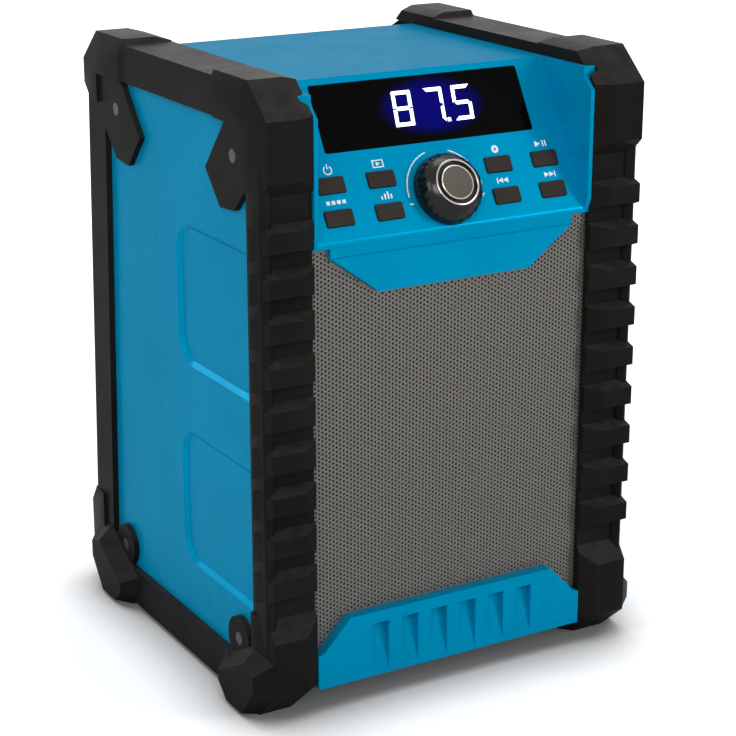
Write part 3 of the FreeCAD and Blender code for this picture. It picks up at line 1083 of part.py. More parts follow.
def speaker_parts():
    """A cone speaker screwed to the back of the speaker wall."""
    back = f"({BAFFLE} + baffle_wall)"

    def turned(label, outline, screw_holes=False):
        """Turned about the speaker's axis: radius and distance behind the speaker wall."""
        body = new_body(label)
        points = [(f"{back} + ({deep})", f"speaker_level + ({r})") for r, deep in outline]
        sketch = polygon(body, "outline", "YZ_Plane", points)
        first = sketch.addGeometry(Part.LineSegment(Vector(0, value("speaker_level"), 0),
                                                    Vector(10, value("speaker_level"), 0)), True)
        sketch.addConstraint(Sketcher.Constraint("Horizontal", first))
        hold(sketch, "DistanceY", first, 1, "speaker_level")
        hold(sketch, "DistanceX", first, 1, "0")
        hold(sketch, "DistanceX", first, 2, "10")
        turn = body.newObject("PartDesign::Revolution", "turn")
        turn.Profile = sketch
        turn.ReferenceAxis = (sketch, ["Axis0"])
        turn.Angle = 360
        if screw_holes:
            drill_speaker_holes(body)
        return body

    turned("speaker_gasket", [("speaker_opening - 1", "0.02"), ("speaker_flange", "0.02"),
                              ("speaker_flange", "1.2"), ("speaker_opening - 1", "1.2")], screw_holes=True)
    turned("speaker_basket", [
        ("speaker_opening - 3", "1.25"), ("speaker_flange", "1.25"), ("speaker_flange", "2.6"),
        ("speaker_opening - 1", "2.6"), ("speaker_opening - 5", "12"),
        ("magnet_radius - 4", "speaker_depth - 8"),
        ("magnet_radius - 4", "speaker_depth"), ("10", "speaker_depth"), ("10", "speaker_depth - 1.5"),
        ("magnet_radius - 5.5", "speaker_depth - 1.5"), ("magnet_radius - 5.5", "speaker_depth - 8"),
        ("speaker_opening - 6.5", "12"), ("speaker_opening - 3", "4")], screw_holes=True)
    turned("speaker_surround", [("speaker_opening - 10", "1"), ("speaker_opening - 8", "-1.2"),
                                ("speaker_opening - 5", "-1.2"),
                                ("speaker_opening - 3", "1.2"), ("speaker_opening - 3.6", "1.2"),
                                ("speaker_opening - 5.4", "-0.4"),
                                ("speaker_opening - 7.6", "-0.4"), ("speaker_opening - 9.4", "1.6")])
    turned("speaker_cone", [("speaker_opening - 9.5", "1.7"), ("speaker_opening - 9.5", "2.7"),
                            ("13", "21"), ("13", "20")])
    turned("speaker_dust_cap", [("0", "13"), ("6", "14"), ("11", "16.5"), ("13.6", "19.2"), ("12.8", "19.2"),
                                ("10.6", "17.2"), ("5.8", "14.8"), ("0", "13.8")])
    turned("voice_coil", [("12.2", "20.2"), ("12.9", "20.2"), ("12.9", "speaker_depth - 2"),
                          ("12.2", "speaker_depth - 2")])
    turned("speaker_magnet", [("0", "speaker_depth + 0.05"), ("magnet_radius", "speaker_depth + 0.05"),
                              ("magnet_radius", "speaker_depth + magnet_thick"),
                              ("0", "speaker_depth + magnet_thick")])
    screws = []
    for i, (x, z) in enumerate(SPEAKER_SCREWS):
        head = cylinder(f"speaker_head_{i}", "screw_head - 0.4", "1.8", (x, f"{back} + 2.6", z), (0, 1, 0))
        shank = cylinder(f"speaker_shank_{i}", "screw_radius - 0.25", "5.6", (x, f"{back} + 2.7", z),
                         (0, -1, 0))
        screws.append(fuse(f"speaker_screw_{i}", [head, shank], final=False))
    group("speaker_screws", screws)


def electronics():
    """Main board on the tray, and the wires' connector block."""
    body = new_body("main_board")
    lift = "-button_outer"
    high = "door_high + 6"
    outline = [("seam_place + 26", high), ("seam_place + 26", f"{high} + board_thick"),
               (f"{shell_rear(high, '8')}", f"{high} + board_thick"), (f"{shell_rear(high, '8')}", high)]
    pad(body, "board", polygon(body, "board_outline", "YZ_Plane", outline, lift), "2 * button_outer")
    parts = [("-30", "seam_place + 34", "12", "9", "4"), ("6", "seam_place + 32", "16", "14", "2"),
             ("32", "seam_place + 36", "9", "18", "8")]
    for i, (x, y, wide, deep, tall) in enumerate(parts):
        chip = [(x, y), (f"{x} + {wide}", y), (f"{x} + {wide}", f"{y} + {deep}"), (x, f"{y} + {deep}")]
        pad(body, f"chip_{i}", polygon(body, f"chip_{i}_outline", "XY_Plane", chip,
                                       f"{high} + board_thick"), tall)
    feet = new_body("board_feet")
    spots = [(x, y, "3") for x in ("-38", "38") for y in ("seam_place + 34", f"{shell_rear(high, '14')}")]
    pad(feet, "feet", circles(feet, "feet_discs", "XY_Plane", spots, "door_high + 2 + 0.02"), "4 - 0.04")


def antenna_parts():
    """Folding telescopic antenna on the back: bush, swivel, mast, middle and tip."""
    face = shell_rear("antenna_level - 8")
    pivot_y = ELBOW_Y
    base = new_body("antenna_base")
    flange = circles(base, "flange_disc", "XZ_Plane", [("antenna_place", "antenna_level", "8")],
                     f"-({face} + 0.1)")
    pad(base, "flange", flange, "1", back=True)
    tube = circles(base, "tube_disc", "XZ_Plane", [("antenna_place", "antenna_level", "5")],
                   f"-({face} + 0.1)")
    pad(base, "tube", tube, "10")
    bore = circles(base, "bore_disc", "XZ_Plane", [("antenna_place", "antenna_level", "2.5 + running_gap")],
                   f"-({face} + 2)")
    pocket(base, "bore", bore, "20", back=True)
    swivel = new_body("antenna_swivel")
    disc = circles(swivel, "disc_outline", "XZ_Plane", [("antenna_place", "antenna_level", "6.5")],
                   f"-({face} + 1.45)")
    pad(swivel, "disc", disc, "1.4", back=True)
    stud = circles(swivel, "stud_outline", "XZ_Plane", [("antenna_place", "antenna_level", "2.5")],
                   f"-({face} + 1.5)")
    pad(swivel, "stud", stud, "10")
    for tag, low in (("upper", "elbow_width / 2 + 0.3"), ("lower", "-elbow_width / 2 - 0.3 - 1.6")):
        arm = [("antenna_place - 3", f"{face} + 1.5"), ("antenna_place + 3", f"{face} + 1.5"),
               ("antenna_place + 3", f"{pivot_y} + 2"), ("antenna_place - 3", f"{pivot_y} + 2")]
        pad(swivel, f"arm_{tag}", polygon(swivel, f"arm_{tag}_outline", "XY_Plane", arm,
                                          f"antenna_level + {low}"), "1.6")
    hole = circles(swivel, "pin_hole_disc", "XY_Plane", [("antenna_place", pivot_y, "elbow_pin + 0.02")],
                   "antenna_level")
    pocket(swivel, "pin_hole", hole, "20", "Symmetric")
    pin = cylinder("elbow_pin_bar", "elbow_pin", "elbow_width + 3.2",
                   ("antenna_place", pivot_y, "antenna_level - elbow_width / 2 - 1.6"), (0, 0, 1))
    pin.Label = "elbow_pin_bar"
    FINISHED.append(pin)
    mast = new_body("antenna_mast")
    eye = circles(mast, "eye_disc", "XY_Plane", [("antenna_place", pivot_y, "mast_radius + 0.1")],
                  "antenna_level")
    pad(mast, "eye", eye, "elbow_width", "Symmetric")
    tube = circles(mast, "tube_disc", "YZ_Plane", [(pivot_y, "antenna_level", "mast_radius")],
                   "antenna_place - mast_length")
    pad(mast, "tube", tube, "mast_length - 1")
    bore = circles(mast, "tube_bore_disc", "YZ_Plane",
                   [(pivot_y, "antenna_level", "middle_radius + running_gap")],
                   "antenna_place - mast_length - 1")
    pocket(mast, "tube_bore", bore, "mast_length - 6", back=True)
    hole = circles(mast, "eye_hole_disc", "XY_Plane",
                   [("antenna_place", pivot_y, "elbow_pin + running_gap")], "antenna_level")
    pocket(mast, "eye_hole", hole, "elbow_width + 2", "Symmetric")
    middle = new_body("antenna_middle")
    start = "antenna_place - mast_length - stage_step"
    tube = circles(middle, "tube_disc", "YZ_Plane", [(pivot_y, "antenna_level", "middle_radius")], start)
    pad(middle, "tube", tube, "mast_length - 6")
    bore = circles(middle, "bore_disc", "YZ_Plane",
                   [(pivot_y, "antenna_level", "tip_radius + running_gap")], f"{start} - 1")
    pocket(middle, "bore", bore, "mast_length - 10", back=True)
    tip = new_body("antenna_tip")
    begin = f"{start} - stage_step"
    rod = circles(tip, "rod_disc", "YZ_Plane", [(pivot_y, "antenna_level", "tip_radius")], begin)
    pad(tip, "rod", rod, "mast_length - 12")
    bead = circles(tip, "bead_disc", "YZ_Plane", [(pivot_y, "antenna_level", "tip_bead")], begin)
    pad(tip, "bead", bead, "stage_step - 0.5")


ELBOW_Y = f"({shell_rear('antenna_level - 8')} + elbow_lift)"


def fasteners():
    """Screws of one kind share one node."""
    heads = []
    for side, sign, turn in (("right", "", 1), ("left", "-", -1)):
        for i, (y, z) in enumerate(EAR_SCREWS):
            root = f"({SIDE_X} - screw_cap - 12)"
            start = f"{sign}{root}"
            shank = cylinder(f"ear_shank_{side}_{i}", "screw_radius", "12.2", (start, y, z), (turn, 0, 0))
            top = f"{sign}({SIDE_X} - screw_cap)"
            head = cylinder(f"ear_head_{side}_{i}", "screw_head", "screw_cap", (top, y, z), (turn, 0, 0))
            heads.append(fuse(f"ear_screw_{side}_{i}", [shank, head], final=False))
    group("frame_screws", heads)
    long_screws = []
    for i, (x, z) in enumerate(SHELL_SCREWS):
        shank = cylinder(f"shell_shank_{i}", "screw_radius", f"{SINK_FLOOR} + 0.1 - seam_place + 14",
                         (x, "seam_place - 14", z), (0, 1, 0))
        head = cylinder(f"shell_head_{i}", "screw_head", "2.2", (x, SINK_FLOOR, z), (0, 1, 0))
        long_screws.append(fuse(f"shell_screw_{i}", [shank, head], final=False))
    group("shell_screws", long_screws)


def check_and_write():
    doc.recompute()
    for item in doc.Objects:
        if "Invalid" in item.State or "Error" in item.State:
            raise RuntimeError(f"{item.Name} failed: {item.State}")
    for cut_feature in POCKETS:
        if not cut_feature.Shape.Volume < cut_feature.BaseFeature.Shape.Volume - 1e-6:
            raise RuntimeError(f"{cut_feature.Label} cuts nothing")
    os.makedirs("parts", exist_ok=True)
    labels = [item.Label for item in FINISHED]
    if len(set(labels)) != len(labels):
        raise RuntimeError("two sub-parts share a label")
    for item in FINISHED:
        shape = item.Shape
        if shape.isNull() or not shape.isValid() or not shape.Solids:
            raise RuntimeError(f"{item.Label} has no valid solid")
        shape.exportStep(f"parts/{item.Label}.step")
        print(item.Label, len(shape.Solids), round(shape.Volume, 1))


frame_right = side_frame()
mirrored("side_frame_left", frame_right)
front_shell()
rear_shell()
grille_parts()
speaker_parts()
panel_parts()
knob_parts()
battery_parts()
socket_parts()
electronics()
antenna_parts()
fasteners()
check_and_write()
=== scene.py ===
import math

import bmesh
import bpy
from mathutils import Matrix, Vector
from mathutils.geometry import delaunay_2d_cdt


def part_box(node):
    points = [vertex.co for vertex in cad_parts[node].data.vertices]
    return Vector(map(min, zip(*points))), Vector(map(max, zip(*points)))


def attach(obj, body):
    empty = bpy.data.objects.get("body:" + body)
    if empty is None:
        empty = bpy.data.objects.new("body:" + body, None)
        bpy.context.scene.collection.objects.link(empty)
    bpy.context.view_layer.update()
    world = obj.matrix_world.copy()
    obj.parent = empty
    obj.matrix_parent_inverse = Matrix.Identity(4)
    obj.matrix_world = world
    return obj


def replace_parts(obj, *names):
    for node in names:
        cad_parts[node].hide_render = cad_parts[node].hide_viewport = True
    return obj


# Jobsite radio. Metres, in the same frame as the solids: X right, Y back, Z up.
# Sizes of the object are written in millimetres and multiplied by MM; the stage is in metres.
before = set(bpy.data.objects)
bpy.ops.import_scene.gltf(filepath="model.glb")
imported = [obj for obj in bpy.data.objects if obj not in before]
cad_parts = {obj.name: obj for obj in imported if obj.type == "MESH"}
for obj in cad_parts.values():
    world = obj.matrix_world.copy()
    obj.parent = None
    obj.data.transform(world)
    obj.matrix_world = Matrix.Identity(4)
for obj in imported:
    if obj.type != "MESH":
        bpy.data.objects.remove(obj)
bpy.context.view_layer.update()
scene = bpy.context.scene

MM = 0.001
PANEL_ANGLE = math.radians(59.5)
NOSE_Y = -96.2 * MM
NOSE_Z = 218 * MM
ALONG = Vector((0, math.cos(PANEL_ANGLE), math.sin(PANEL_ANGLE)))
NORMAL = Vector((0, -math.sin(PANEL_ANGLE), math.cos(PANEL_ANGLE)))
KNOB_UP = 17.4


def on_panel(x, along, height=0.0):
    """A point from sizes across the panel, up its slope and above its face."""
    return Vector((x * MM, NOSE_Y, NOSE_Z)) + ALONG * along * MM + NORMAL * height * MM


# Materials. A bump is a height, its strength and its distance in metres.

# Painted top light on upward faces: the slope range that is lightened, how much, and the dark and light
# ends of its grain.
TOP_LIGHT_SLOPE = (0.3, 0.85)
TOP_LIGHT_SHARE = 0.75
TOP_LIGHT_DARK = (0.7, 0.64, 0.58)
TOP_LIGHT_BRIGHT = (1.25, 1.15, 1.05)
HANDLED_SMOOTH = 0.86
HANDLED_ROUGH = 1.14


def new_material(name):
    made = bpy.data.materials.new(name)
    made.use_nodes = True
    tree = made.node_tree
    tree.nodes.clear()
    output = tree.nodes.new("ShaderNodeOutputMaterial")
    shader = tree.nodes.new("ShaderNodeBsdfPrincipled")
    tree.links.new(shader.outputs["BSDF"], output.inputs["Surface"])
    return made, tree, shader


def noise(tree, scale, detail):
    """Noise over the piece's own coordinates, in features per metre."""
    place = tree.nodes.new("ShaderNodeTexCoord")
    texture = tree.nodes.new("ShaderNodeTexNoise")
    texture.inputs["Scale"].default_value = scale
    texture.inputs["Detail"].default_value = detail
    tree.links.new(place.outputs["Object"], texture.inputs["Vector"])
    return texture.outputs["Fac"]


def ramp(tree, value, low, high, start=0.3, end=0.7):
    """Map a value to a range of colours or greys."""
    node = tree.nodes.new("ShaderNodeValToRGB")
    node.color_ramp.elements[0].position = start
    node.color_ramp.elements[1].position = end
    node.color_ramp.elements[0].color = low
    node.color_ramp.elements[1].color = high
    tree.links.new(value, node.inputs["Fac"])
    return node.outputs["Color"]


def grey(level):
    return (level, level, level, 1)


def add_bump(tree, shader, sources):
    """Stack several bumps on a shader."""
    normal = None
    for height, strength, distance in sources:
        bump = tree.nodes.new("ShaderNodeBump")
        bump.inputs["Strength"].default_value = strength
        bump.inputs["Distance"].default_value = distance
        tree.links.new(height, bump.inputs["Height"])
        if normal:
            tree.links.new(normal, bump.inputs["Normal"])
        normal = bump.outputs["Normal"]
    tree.links.new(normal, shader.inputs["Normal"])


def painted_top_light(tree, base, level):
    """Painted top light: a grainy lightening of what faces upwards, standing for light caught by upward
    facets.
    """
    facing = tree.nodes.new("ShaderNodeNewGeometry")
    parts = tree.nodes.new("ShaderNodeSeparateXYZ")
    tree.links.new(facing.outputs["Normal"], parts.inputs["Vector"])
    rise = tree.nodes.new("ShaderNodeMapRange")
    rise.inputs["From Min"].default_value = TOP_LIGHT_SLOPE[0]
    rise.inputs["From Max"].default_value = TOP_LIGHT_SLOPE[1]
    rise.inputs["To Max"].default_value = TOP_LIGHT_SHARE
    tree.links.new(parts.outputs["Z"], rise.inputs["Value"])
    mix = tree.nodes.new("ShaderNodeMixRGB")
    tree.links.new(rise.outputs["Result"], mix.inputs["Fac"])
    tree.links.new(base, mix.inputs["Color1"])
    low = [level * share for share in TOP_LIGHT_DARK] + [1]
    high = [level * share for share in TOP_LIGHT_BRIGHT] + [1]
    tree.links.new(ramp(tree, noise(tree, 160, 5), low, high), mix.inputs["Color2"])
    return mix.outputs["Color"]


def moulded(name, colour, rough, grain=1400, grain_depth=0.00004, tint=0.12, specular=0.3, metallic=0.0,
            top_light=0.0):
    """Moulded plastic: slight colour drift, fine spark-eroded grain, soft handling marks and, where asked,
    painted light on faces that look upwards.
    """
    made, tree, shader = new_material(name)
    low = [c * (1 - tint) for c in colour] + [1]
    high = [c * (1 + tint) for c in colour] + [1]
    base = ramp(tree, noise(tree, 22, 4), low, high)
    if top_light:
        base = painted_top_light(tree, base, top_light)
    tree.links.new(base, shader.inputs["Base Color"])
    smooth = grey(rough * HANDLED_SMOOTH)
    worn = grey(min(1, rough * HANDLED_ROUGH))
    tree.links.new(ramp(tree, noise(tree, 60, 5), smooth, worn), shader.inputs["Roughness"])
    shader.inputs["Specular IOR Level"].default_value = specular
    shader.inputs["Metallic"].default_value = metallic
    add_bump(tree, shader, [(noise(tree, grain, 2), 0.35, grain_depth), (noise(tree, 90, 3), 0.12, 0.0002)])
    return made


def metal(name, colour, rough):
    """Bare or plated metal with a fine uneven polish."""
    made, tree, shader = new_material(name)
    shader.inputs["Metallic"].default_value = 1.0
    polish = noise(tree, 900, 2)
    tree.links.new(ramp(tree, polish, grey(rough * 0.7), grey(rough * 1.4)), shader.inputs["Roughness"])
    low = [c * 0.85 for c in colour] + [1]
    high = list(colour) + [1]
    tree.links.new(ramp(tree, noise(tree, 40, 3), low, high), shader.inputs["Base Color"])
    add_bump(tree, shader, [(polish, 0.15, 0.00002)])
    return made


BLUE = moulded("blue_shell", (0.0, 0.25, 0.45), 0.29, grain=1700, grain_depth=0.00002, tint=0.05,
               specular=0.0, metallic=0.22)
# The black bumpers carry painted top light on their upward faces.
BLACK = moulded("bumper_black", (0.0105, 0.0098, 0.0092), 0.34, grain=1500, grain_depth=0.00006, tint=0.25,
                specular=0.025, top_light=0.035)
KEY = moulded("key_rubber", (0.026, 0.02, 0.017), 0.55, grain=2200, grain_depth=0.00003, tint=0.15,
              specular=0.1)
KNOB = moulded("knob_black", (0.004, 0.004, 0.004), 0.2, grain=2000, grain_depth=0.00002, tint=0.2)
DISC = moulded("knob_disc", (0.095, 0.083, 0.068), 0.42, grain=1500, tint=0.1, specular=0.15)
RUBBER = moulded("flap_rubber", (0.018, 0.018, 0.018), 0.6, grain=1200, grain_depth=0.00005)
INNER = moulded("inner_black", (0.02, 0.02, 0.021), 0.5)
CLOTH = moulded("speaker_cloth", (0.006, 0.006, 0.006), 0.9, grain=2600, grain_depth=0.0002)
BOARD = moulded("board_green", (0.01, 0.09, 0.035), 0.4, grain=700)
CHROME = metal("plated_steel", (0.62, 0.61, 0.6), 0.16)
RING = metal("knob_plating", (0.55, 0.52, 0.48), 0.2)
SCREW = metal("dark_screw", (0.09, 0.09, 0.095), 0.3)
STEEL = metal("zinc_steel", (0.3, 0.3, 0.31), 0.4)
CONE = moulded("cone_paper", (0.02, 0.02, 0.02), 0.8, grain=500, grain_depth=0.0002)
MAGNET = moulded("ferrite", (0.05, 0.05, 0.052), 0.7)
CELL = moulded("battery_case", (0.03, 0.03, 0.034), 0.45)


def grille_paint():
    """Dark warm grey powder coat over punched sheet."""
    made, tree, shader = new_material("grille_paint")
    shader.inputs["Metallic"].default_value = 0.35
    fleck = noise(tree, 3000, 2)
    paint_colour = ramp(tree, fleck, (0.1, 0.094, 0.084, 1), (0.18, 0.17, 0.154, 1))
    tree.links.new(paint_colour, shader.inputs["Base Color"])
    tree.links.new(ramp(tree, noise(tree, 700, 3), grey(0.36), grey(0.5)), shader.inputs["Roughness"])
    add_bump(tree, shader, [(fleck, 0.3, 0.00003)])
    return made


WINDOW_ROUGH = 0.03
WINDOW_SPECULAR = 0.03


def smoked_window():
    """A window so dark that only the lit digits show."""
    made, tree, shader = new_material("smoked_window")
    shader.inputs["Roughness"].default_value = WINDOW_ROUGH
    shader.inputs["Specular IOR Level"].default_value = WINDOW_SPECULAR
    haze = ramp(tree, noise(tree, 35, 2), (0.0008, 0.0008, 0.001, 1), (0.0014, 0.0014, 0.0016, 1))
    tree.links.new(haze, shader.inputs["Base Color"])
    return made


def segment_light():
    """Lit digit segments: cool white and brighter than anything round them."""
    made, tree, shader = new_material("segment_white")
    shader.inputs["Roughness"].default_value = 0.4
    shader.inputs["Base Color"].default_value = (0.86, 0.88, 1.0, 1)
    lit = ramp(tree, noise(tree, 400, 1), (0.86 * 0.93, 0.88 * 0.93, 0.93, 1), (0.86, 0.88, 1.0, 1))
    tree.links.new(lit, shader.inputs["Emission Color"])
    shader.inputs["Emission Strength"].default_value = 2.2
    return made


def halo():
    """Deep blue light round the digits, fading into the dark window."""
    made, tree, shader = new_material("segment_halo")
    shader.inputs["Base Color"].default_value = (0.001, 0.001, 0.0012, 1)
    shader.inputs["Roughness"].default_value = WINDOW_ROUGH
    shader.inputs["Specular IOR Level"].default_value = WINDOW_SPECULAR
    place = tree.nodes.new("ShaderNodeTexCoord")
    centre = tree.nodes.new("ShaderNodeVectorMath")
    centre.operation = "SUBTRACT"
    centre.inputs[1].default_value = (0.5, 0.5, 0.5)
    tree.links.new(place.outputs["Generated"], centre.inputs[0])
    flat = tree.nodes.new("ShaderNodeVectorMath")
    flat.operation = "MULTIPLY"
    flat.inputs[1].default_value = (1, 0, 1)
    tree.links.new(centre.outputs["Vector"], flat.inputs[0])
    reach = tree.nodes.new("ShaderNodeVectorMath")
    reach.operation = "LENGTH"
    tree.links.new(flat.outputs["Vector"], reach.inputs[0])
    blue = ramp(tree, reach.outputs["Value"], (0.0, 0.0, 0.16, 1), (0.0, 0.0, 0.0, 1), 0.3, 0.5)
    tree.links.new(blue, shader.inputs["Emission Color"])
    shader.inputs["Emission Strength"].default_value = 1.0
    return made


def print_white():
    """White ink on the control panel."""
    made, tree, shader = new_material("print_white")
    tree.links.new(ramp(tree, noise(tree, 900, 2), grey(0.68), grey(0.86)), shader.inputs["Base Color"])
    shader.inputs["Roughness"].default_value = 0.5
    return made


GRILLE = grille_paint()
LENS = smoked_window()
SEGMENT = segment_light()
HALO = halo()
PRINT = print_white()


# Pieces

def paint(obj, material):
    obj.data.materials.clear()
    obj.data.materials.append(material)
    for polygon in obj.data.polygons:
        polygon.material_index = 0


def new_piece(name, mesh, material, body="housing"):
    piece = bpy.data.objects.new(name, mesh)
    scene.collection.objects.link(piece)
    paint(piece, material)
    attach(piece, body)
    return piece


def mesh_from(work, name):
    """A mesh from a working mesh that is done: faces turned outwards, and the work freed."""
    bmesh.ops.recalc_face_normals(work, faces=work.faces)
    mesh = bpy.data.meshes.new(name)
    work.to_mesh(mesh)
    work.free()
    return mesh


def bridge(work, lower, upper):
    """Side faces between two closed rows of points."""
    count = len(lower)
    for i in range(count):
        k = (i + 1) % count
        work.faces.new((lower[i], lower[k], upper[k], upper[i]))


def finish_mesh(piece, angle):
    """Smooth shading that keeps edges sharper than the angle, in degrees."""
    piece.data.shade_smooth()
    piece.data.set_sharp_from_angle(angle=math.radians(angle))


def apply_modifiers(piece):
    graph = bpy.context.evaluated_depsgraph_get()
    mesh = bpy.data.meshes.new_from_object(piece.evaluated_get(graph))
    piece.modifiers.clear()
    old = piece.data
    piece.data = mesh
    bpy.data.meshes.remove(old)


WELD = 0.002 * MM
FLAT_ANGLE = math.radians(0.6)
BEVEL_ANGLE = math.radians(24)
LARGE_BEVEL = 3.6 * MM
LARGE_SEGMENTS = 5


def soft_copy(node, material, width, segments=2, body="housing", extra=None, reshape=None):
    """A node's own shape with its edges rounded, standing for the node."""
    work = bmesh.new()
    work.from_mesh(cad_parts[node].data)
    bmesh.ops.remove_doubles(work, verts=work.verts, dist=WELD)
    bmesh.ops.dissolve_limit(work, angle_limit=FLAT_ANGLE, verts=work.verts, edges=work.edges)
    if reshape:
        for vert in work.verts:
            reshape(vert.co)
    if extra:
        layer = work.edges.layers.float.new("bevel_weight_edge")
        for edge in work.edges:
            edge[layer] = extra(edge)
    piece = new_piece(node + "_soft", mesh_from(work, node + "_soft"), material, body)
    if extra:
        large = piece.modifiers.new("large", "BEVEL")
        large.limit_method = "WEIGHT"
        large.width = LARGE_BEVEL
        large.segments = LARGE_SEGMENTS
        large.use_clamp_overlap = False
    bevel = piece.modifiers.new("edges", "BEVEL")
    bevel.limit_method = "ANGLE"
    bevel.angle_limit = BEVEL_ANGLE
    bevel.width = width * MM
    bevel.segments = segments
    bevel.use_clamp_overlap = True
    bevel.miter_outer = "MITER_SHARP"
    apply_modifiers(piece)
    finish_mesh(piece, 40)
    weighted = piece.modifiers.new("normals", "WEIGHTED_NORMAL")
    weighted.keep_sharp = True
    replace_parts(piece, node)
    return piece


# How close a point has to lie to a place on the solids to be taken for it, and how level an edge is.
NEAR = 0.1
LEVEL = 0.01

# Edges of the front shell with a larger round: the nose, and the top edge over the window.
SHORT_EDGE = 8
NOSE_EDGE = 30
NOSE_FRONT = -95.5
NOSE_NEAR = 0.4
NOSE_SHARE = 0.44
TOP_EDGE_Y = -58.2
TOP_EDGE_Z = 282.5
TOP_NEAR_Y = 1.2
TOP_NEAR_Z = 0.3
TOP_SHARE = 0.67

# The skirt under the grille: its knee, and the row of upright slots.
SKIRT_FACE = -98.5
KNEE_X = 64
KNEE_Z = 29.5
KNEE_WIDER = 4.8
SLOT_REACH = 50
SLOT_FRONT = -94
SLOT_TOP = 36
SLOT_DEEPER = 1.6
SLOT_HIGHER = 2.3

# The pockets in the shell's sides.
POCKET_FLOOR = 91.7
POCKET_LOWS = (48, 147.5)
POCKET_RISE = 67
POCKET_REAR = -6
POCKET_ROUND = 14
POCKET_SLOPE = 2.2

# The keys: where they stand across and up the panel, the area round each, and its growth.
KEYS = {"power": (-55.6, 26.2), "source": (-30.5, 26.2), "preset": (-55.6, 11.4), "band": (-30.5, 11.4),
        "pair": (30.5, 26.2), "play": (55.6, 26.2), "previous": (30.5, 11.4), "next": (55.6, 11.4)}
KEY_REACH = (7, 4.2)
KEY_GROW = (0.7, 0.4)
PANEL_THICK = 4


def shell_edge(edge):
    """How large a round an edge of the front shell has, as a share of the large bevel."""
    length = edge.calc_length()
    if length < SHORT_EDGE * MM or not edge.is_convex:
        return 0.0
    a, b = [vert.co for vert in edge.verts]
    if abs(a.z - b.z) > LEVEL * MM or abs(a.y - b.y) > LEVEL * MM:
        return 0.0
    y, z = a.y / MM, a.z / MM
    if abs(z - NOSE_Z / MM) < NOSE_NEAR and y < NOSE_FRONT and length > NOSE_EDGE * MM:
        return NOSE_SHARE
    if abs(z - TOP_EDGE_Z) < TOP_NEAR_Z and abs(y - TOP_EDGE_Y) < TOP_NEAR_Y:
        return TOP_SHARE
    return 0.0


def slope_pocket(point):
    """Lean the walls of a side pocket: its floor's outline moves in towards its middle."""
    if abs(abs(point.x) - POCKET_FLOOR * MM) > NEAR * MM:
        return
    for low in POCKET_LOWS:
        high = low + POCKET_RISE
        if low - NEAR < point.z / MM < high + NEAR and point.y / MM < POCKET_REAR + NEAR:
            y = min(point.y, (POCKET_REAR - POCKET_ROUND) * MM)
            z = min(max(point.z, (low + POCKET_ROUND) * MM), (high - POCKET_ROUND) * MM)
            middle = Vector((point.x, y, z))
            point -= (point - middle).normalized() * POCKET_SLOPE * MM


def shape_shell(point):
    """The skirt's knee stands wider, its slots are deeper, and the holes fit the keys."""
    if abs(abs(point.x) - KNEE_X * MM) < NEAR * MM and abs(point.z - KNEE_Z * MM) < NEAR * MM:
        point.x += math.copysign(KNEE_WIDER * MM, point.x)
    at_slot = abs(point.x) < SLOT_REACH * MM and point.y < SLOT_FRONT * MM
    if at_slot and abs(point.z - SLOT_TOP * MM) < NEAR * MM:
        if point.y > (SKIRT_FACE + 1) * MM:
            point.y += SLOT_DEEPER * MM
        point.z += SLOT_HIGHER * MM
    slope_pocket(point)
    grow_key(point)


def grow_key(point):
    """Widen what lies at a key: its own rim and the hole round it."""
    from_nose = point - Vector((0, NOSE_Y, NOSE_Z))
    along = from_nose.dot(ALONG) / MM
    if from_nose.dot(NORMAL) / MM < -PANEL_THICK:
        return
    for u, v in KEYS.values():
        du = point.x / MM - u
        dv = along - v
        if abs(du) < KEY_REACH[0] and abs(dv) < KEY_REACH[1]:
            point.x += math.copysign(KEY_GROW[0], du) * MM
            point += ALONG * (math.copysign(KEY_GROW[1], dv) * MM)


soft_copy("side_frame_left", BLACK, 0.55)
soft_copy("side_frame_right", BLACK, 0.55)
soft_copy("front_shell", BLUE, 0.5, extra=shell_edge, reshape=shape_shell)
soft_copy("rear_shell", BLUE, 0.5)
soft_copy("battery_door", BLUE, 0.4, body="battery_cover")
soft_copy("socket_flap", RUBBER, 0.35, body="socket_cover")
for key in KEYS:
    soft_copy(f"{key}_button", KEY, 0.6, 3, body=f"{key}_button_key", reshape=grow_key)

PLAIN = {
    "grille_cloth": CLOTH, "speaker_gasket": RUBBER, "speaker_basket": INNER, "speaker_surround": RUBBER,
    "speaker_cone": CONE, "speaker_dust_cap": CONE, "voice_coil": CHROME, "speaker_magnet": MAGNET,
    "speaker_screws": SCREW, "display_lens": LENS, "display_module": INNER, "control_board": BOARD,
    "board_posts": INNER, "tact_switches": INNER, "volume_encoder": STEEL, "encoder_shaft": CHROME,
    "hinge_pin": STEEL, "battery_tray": INNER, "battery_pack": CELL, "socket_plate": INNER,
    "power_socket": INNER, "audio_socket": INNER, "data_socket": CHROME, "main_board": BOARD,
    "board_feet": INNER, "antenna_base": INNER, "antenna_swivel": CHROME, "elbow_pin_bar": STEEL,
    "antenna_mast": CHROME, "antenna_middle": CHROME, "antenna_tip": CHROME, "shell_screws": SCREW,
}
for node, material in PLAIN.items():
    paint(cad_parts[node], material)


# The punched grille

def inside(point, outline):
    """Whether a 2D point lies in a closed outline."""
    x, y = point
    hit = False
    for (x0, y0), (x1, y1) in zip(outline, outline[1:] + outline[:1]):
        if (y0 > y) != (y1 > y) and x < x0 + (y - y0) / (y1 - y0) * (x1 - x0):
            hit = not hit
    return hit


